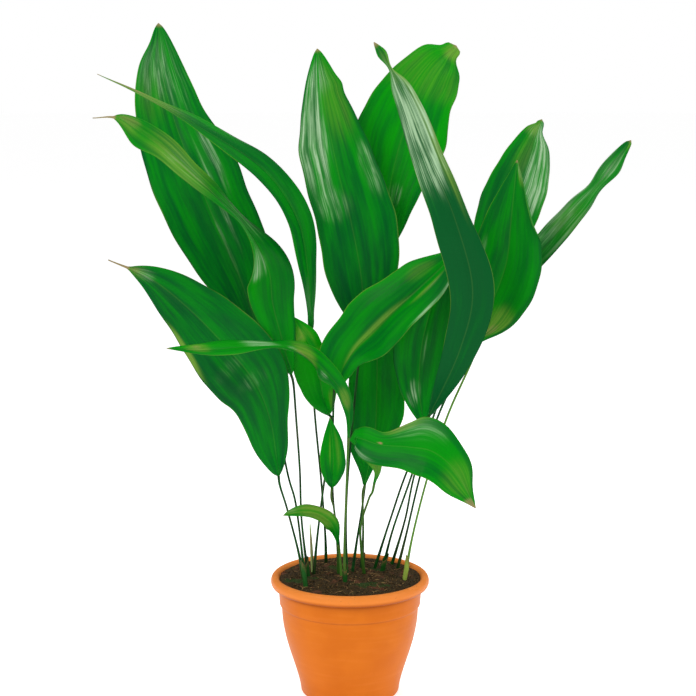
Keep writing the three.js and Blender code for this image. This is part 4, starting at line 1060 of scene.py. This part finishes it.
def blade_rings(leaf, base_radius, order):
    """Rings round the blade, under it and back over it, with the fields that its finish reads.

    The two skins lie either side of the middle surface, along its own normal. The lower one stands
    further off at the midrib, for the rib, and the base is a round section that meets the stalk.
    """
    line, tangents, length = even_line(np.array(leaf["midrib"]) * MM, ROW_SPACING)
    along = np.linspace(0, 1, len(line))[:, None]
    across = np.linspace(-1, 1, leaf["pleats"] * COLUMNS_A_PLEAT + 1)[None]
    half = half_width(leaf, along, base_radius)
    sheet = blade_sheet(leaf, line, tangents, along, across, half, order)
    normal = unit(np.cross(np.gradient(sheet, axis=0), np.gradient(sheet, axis=1)))
    flat = EDGE_THICKNESS + (HALF_THICKNESS - EDGE_THICKNESS) * (1 - across**4)
    round_section = half * np.sqrt(np.clip(1 - across**2, 0, 1))
    roundness = bell(along * length, 0, ROUND_BASE)
    thickness = np.minimum(flat, np.maximum(round_section, EDGE_THICKNESS)) * (1 - roundness)
    thickness = thickness + round_section * roundness
    rib = base_radius * (1 - along) ** RIB_FADE * (1 - roundness)
    keel = rib * bell(half * across, 0, 0.8 * rib + RIB_FLANK)
    upper = sheet + normal * thickness[..., None]
    lower = sheet - normal * (thickness + keel)[..., None]
    rings = np.concatenate([lower, upper[:, ::-1]], axis=1)
    both = np.concatenate([across, across[:, ::-1]], axis=1)
    dry_tip = bell(along, 1, DRY_TIP_SHARE) + (along > 1 - leaf.get("hair", 0))
    fields = dict(
        lane=both * leaf["width"] * MM / 2,
        reach=along * length,
        rib=half * both,
        edge=np.abs(both) + 0 * along,
        under=np.concatenate([across * 0 + 1, across * 0], axis=1),
        tone_and_shade=np.interp(along, (0, 0.5, 1), leaf["tone_and_shade"]),
        painted_sheen=patches(leaf, "painted_sheen", both, along),
        olive=patches(leaf, "olive", both, along),
        brown=np.clip(patches(leaf, "brown", both, along) + dry_tip, 0, 1),
    )
    return rings, fields


def vein_space(finish, across, along):
    """Coordinates that run with the veins, scaled across and along them, different on every leaf.

    lane is the distance across at the widest place and reach the distance along, both in metres, so
    that patterns on them close up towards the base and the tip.
    """
    lane = finish.math("MULTIPLY", finish.field("lane"), across)
    reach = finish.math("MULTIPLY", finish.field("reach"), along)
    return finish.add("CombineXYZ", {0: lane, 1: reach, 2: finish.field("seed")})


def leaf_finish():
    """Leaf green, partly painted shade: streaks along the veins, a thin pale midrib, a fine dark edge, pale
    painted sheen, and dry spots.
    """
    finish = Finish("leaf", Specular_IOR_Level=0.05)
    under = finish.field("under")
    streaks = finish.noise(vein_space(finish, 260, 5), 1, detail=4, roughness=0.6)
    clouds = finish.noise(vein_space(finish, 60, 9), 1, detail=3)
    fine = finish.noise(vein_space(finish, 900, 3), 1, detail=2)
    blotches = finish.noise(vein_space(finish, 150, 24), 1, detail=3)
    # each leaf's tone is partly painted shade and light: deeper or brighter green set leaf by leaf
    brightness = finish.math("ADD", finish.field("tone_and_shade"), finish.span(clouds, 0.3, 0.7, -0.25, 0.25))
    brightness = finish.math("ADD", brightness, finish.span(streaks, 0.3, 0.7, -0.1, 0.1))
    green = finish.mix(finish.span(brightness, -0.15, 1.1), LEAF_DEEP, LEAF_BRIGHT)
    green = finish.mix(finish.span(fine, 0.55, 0.8, 0, 0.18), green, LEAF_SHADOW)
    olive = finish.math("MULTIPLY", finish.field("olive"), finish.span(streaks, 0.25, 0.7, 0.35, 1))
    green = finish.mix(finish.span(olive, 0, 1, 0, 0.85), green, LEAF_OLIVE)
    # painted sheen: pale patches and streaks of reflected light, painted into the colour
    sheen_streaks = finish.math("MAXIMUM", finish.span(streaks, 0.42, 0.68),
                              finish.span(fine, 0.5, 0.7, 0, 0.7))
    sheen = finish.math("MULTIPLY", finish.field("painted_sheen"), finish.math("ADD", 0.32, sheen_streaks))
    sheen = finish.math("MULTIPLY", sheen, finish.span(blotches, 0.36, 0.62, 0.5, 1.2))
    green = finish.mix(finish.span(sheen, 0, 1.15, 0, 0.95), green, LEAF_PAINTED_SHEEN)
    rib = finish.math("ABSOLUTE", finish.field("rib"))
    green = finish.mix(finish.span(rib, 0.0012, 0.0003, 0, 0.1), green, LEAF_RIB)
    green = finish.mix(finish.math("MULTIPLY", under, 0.62), green, LEAF_UNDER)
    edge = finish.span(finish.field("edge"), 0.965, 1.0, 0, 0.55)
    green = finish.mix(edge, green, finish.mix(finish.span(clouds, 0.4, 0.6), LEAF_SHADOW, LEAF_OLIVE))
    dry = finish.math("MULTIPLY", finish.field("brown"), finish.span(streaks, 0.2, 0.6, 0.4, 1.2))
    green = finish.mix(finish.span(dry, 0.1, 1.0, 0, 0.9), green, LEAF_DRY)
    gloss = finish.span(clouds, 0.25, 0.75, 0.34, 0.48)
    gloss = finish.math("ADD", gloss, finish.math("MULTIPLY", under, 0.18))
    relief = finish.relief(fine, 0.0001, finish.relief(streaks, 0.0002))
    finish.coat(Base_Color=green, Roughness=gloss, Normal=relief)
    return finish.material


leaf_skin = leaf_finish()
for number, (name, leaf) in enumerate(LEAVES.items()):
    leaf["pleats"] = max(4, round(leaf["width"] * MM / PLEAT_WIDTH))
    base_radius = STALK_END * (SLIMNESS if name in SLIM_STALKS else 1)
    rings, fields = blade_rings(leaf, base_radius, number)
    blade = ring_mesh(f"blade_{name}_grown", rings, leaf_skin, seed=3.7 * number, **fields)
    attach(blade, "root")
    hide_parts(f"blade_{name}")


# ---- young shoot ---------------------------------------------------------------------------
# One new leaf, still rolled into a pointed spear, comes up beside the stalks on the left.

SHOOT_FOOT = (-0.047, 0.020)
SHOOT_LEAN = (-0.004, -0.006)
SHOOT_HEIGHT = 0.072
SHOOT_RADIUS = 0.0022
SHOOT_TURNS = 2.5
SHOOT_TAPER = 0.93
SHOOT_LAP = 0.12
SHOOT_FACETS = 24
SHOOT_ROWS = 60

SHOOT_PALE = (0.30, 0.42, 0.13, 1)
SHOOT_FLUSH = (0.22, 0.12, 0.06, 1)


def shoot_rings():
    """A spear: its radius falls with the cube of the height, and one lapped edge winds round it."""
    along = np.linspace(0, 1, SHOOT_ROWS)
    foot = np.array([*SHOOT_FOOT, SOIL_TOP - SHEATH_BURIED])
    tip = np.array([SHOOT_FOOT[0] + SHOOT_LEAN[0], SHOOT_FOOT[1] + SHOOT_LEAN[1], SOIL_TOP + SHOOT_HEIGHT])
    line = foot + (tip - foot) * along[:, None]
    turn = np.linspace(0, 2 * np.pi, SHOOT_FACETS, endpoint=False)
    lap = np.mod(turn + SHOOT_TURNS * 2 * np.pi * along[:, None], 2 * np.pi) / (2 * np.pi)
    radius = SHOOT_RADIUS * (1 - SHOOT_TAPER * along[:, None] ** 3) * (1 - SHOOT_LAP + SHOOT_LAP * lap)
    return tube_rings(line, unit(np.gradient(line, axis=0)), radius, SHOOT_FACETS)


def shoot_finish():
    """Pale green with a reddish flush and lengthwise ribs."""
    finish = Finish("young_shoot", Roughness=0.45, Specular_IOR_Level=0.35)
    ribs = finish.noise(finish.place((900, 900, 24)), 1, detail=3)
    flush = finish.span(finish.noise(finish.place((200, 200, 40)), 1), 0.45, 0.7, 0, 0.7)
    finish.coat(Base_Color=finish.mix(flush, SHOOT_PALE, SHOOT_FLUSH), Normal=finish.relief(ribs, 0.0004))
    return finish.material


shoot = ring_mesh("young_shoot_grown", shoot_rings(), shoot_finish())
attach(shoot, "root")
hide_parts("young_shoot")
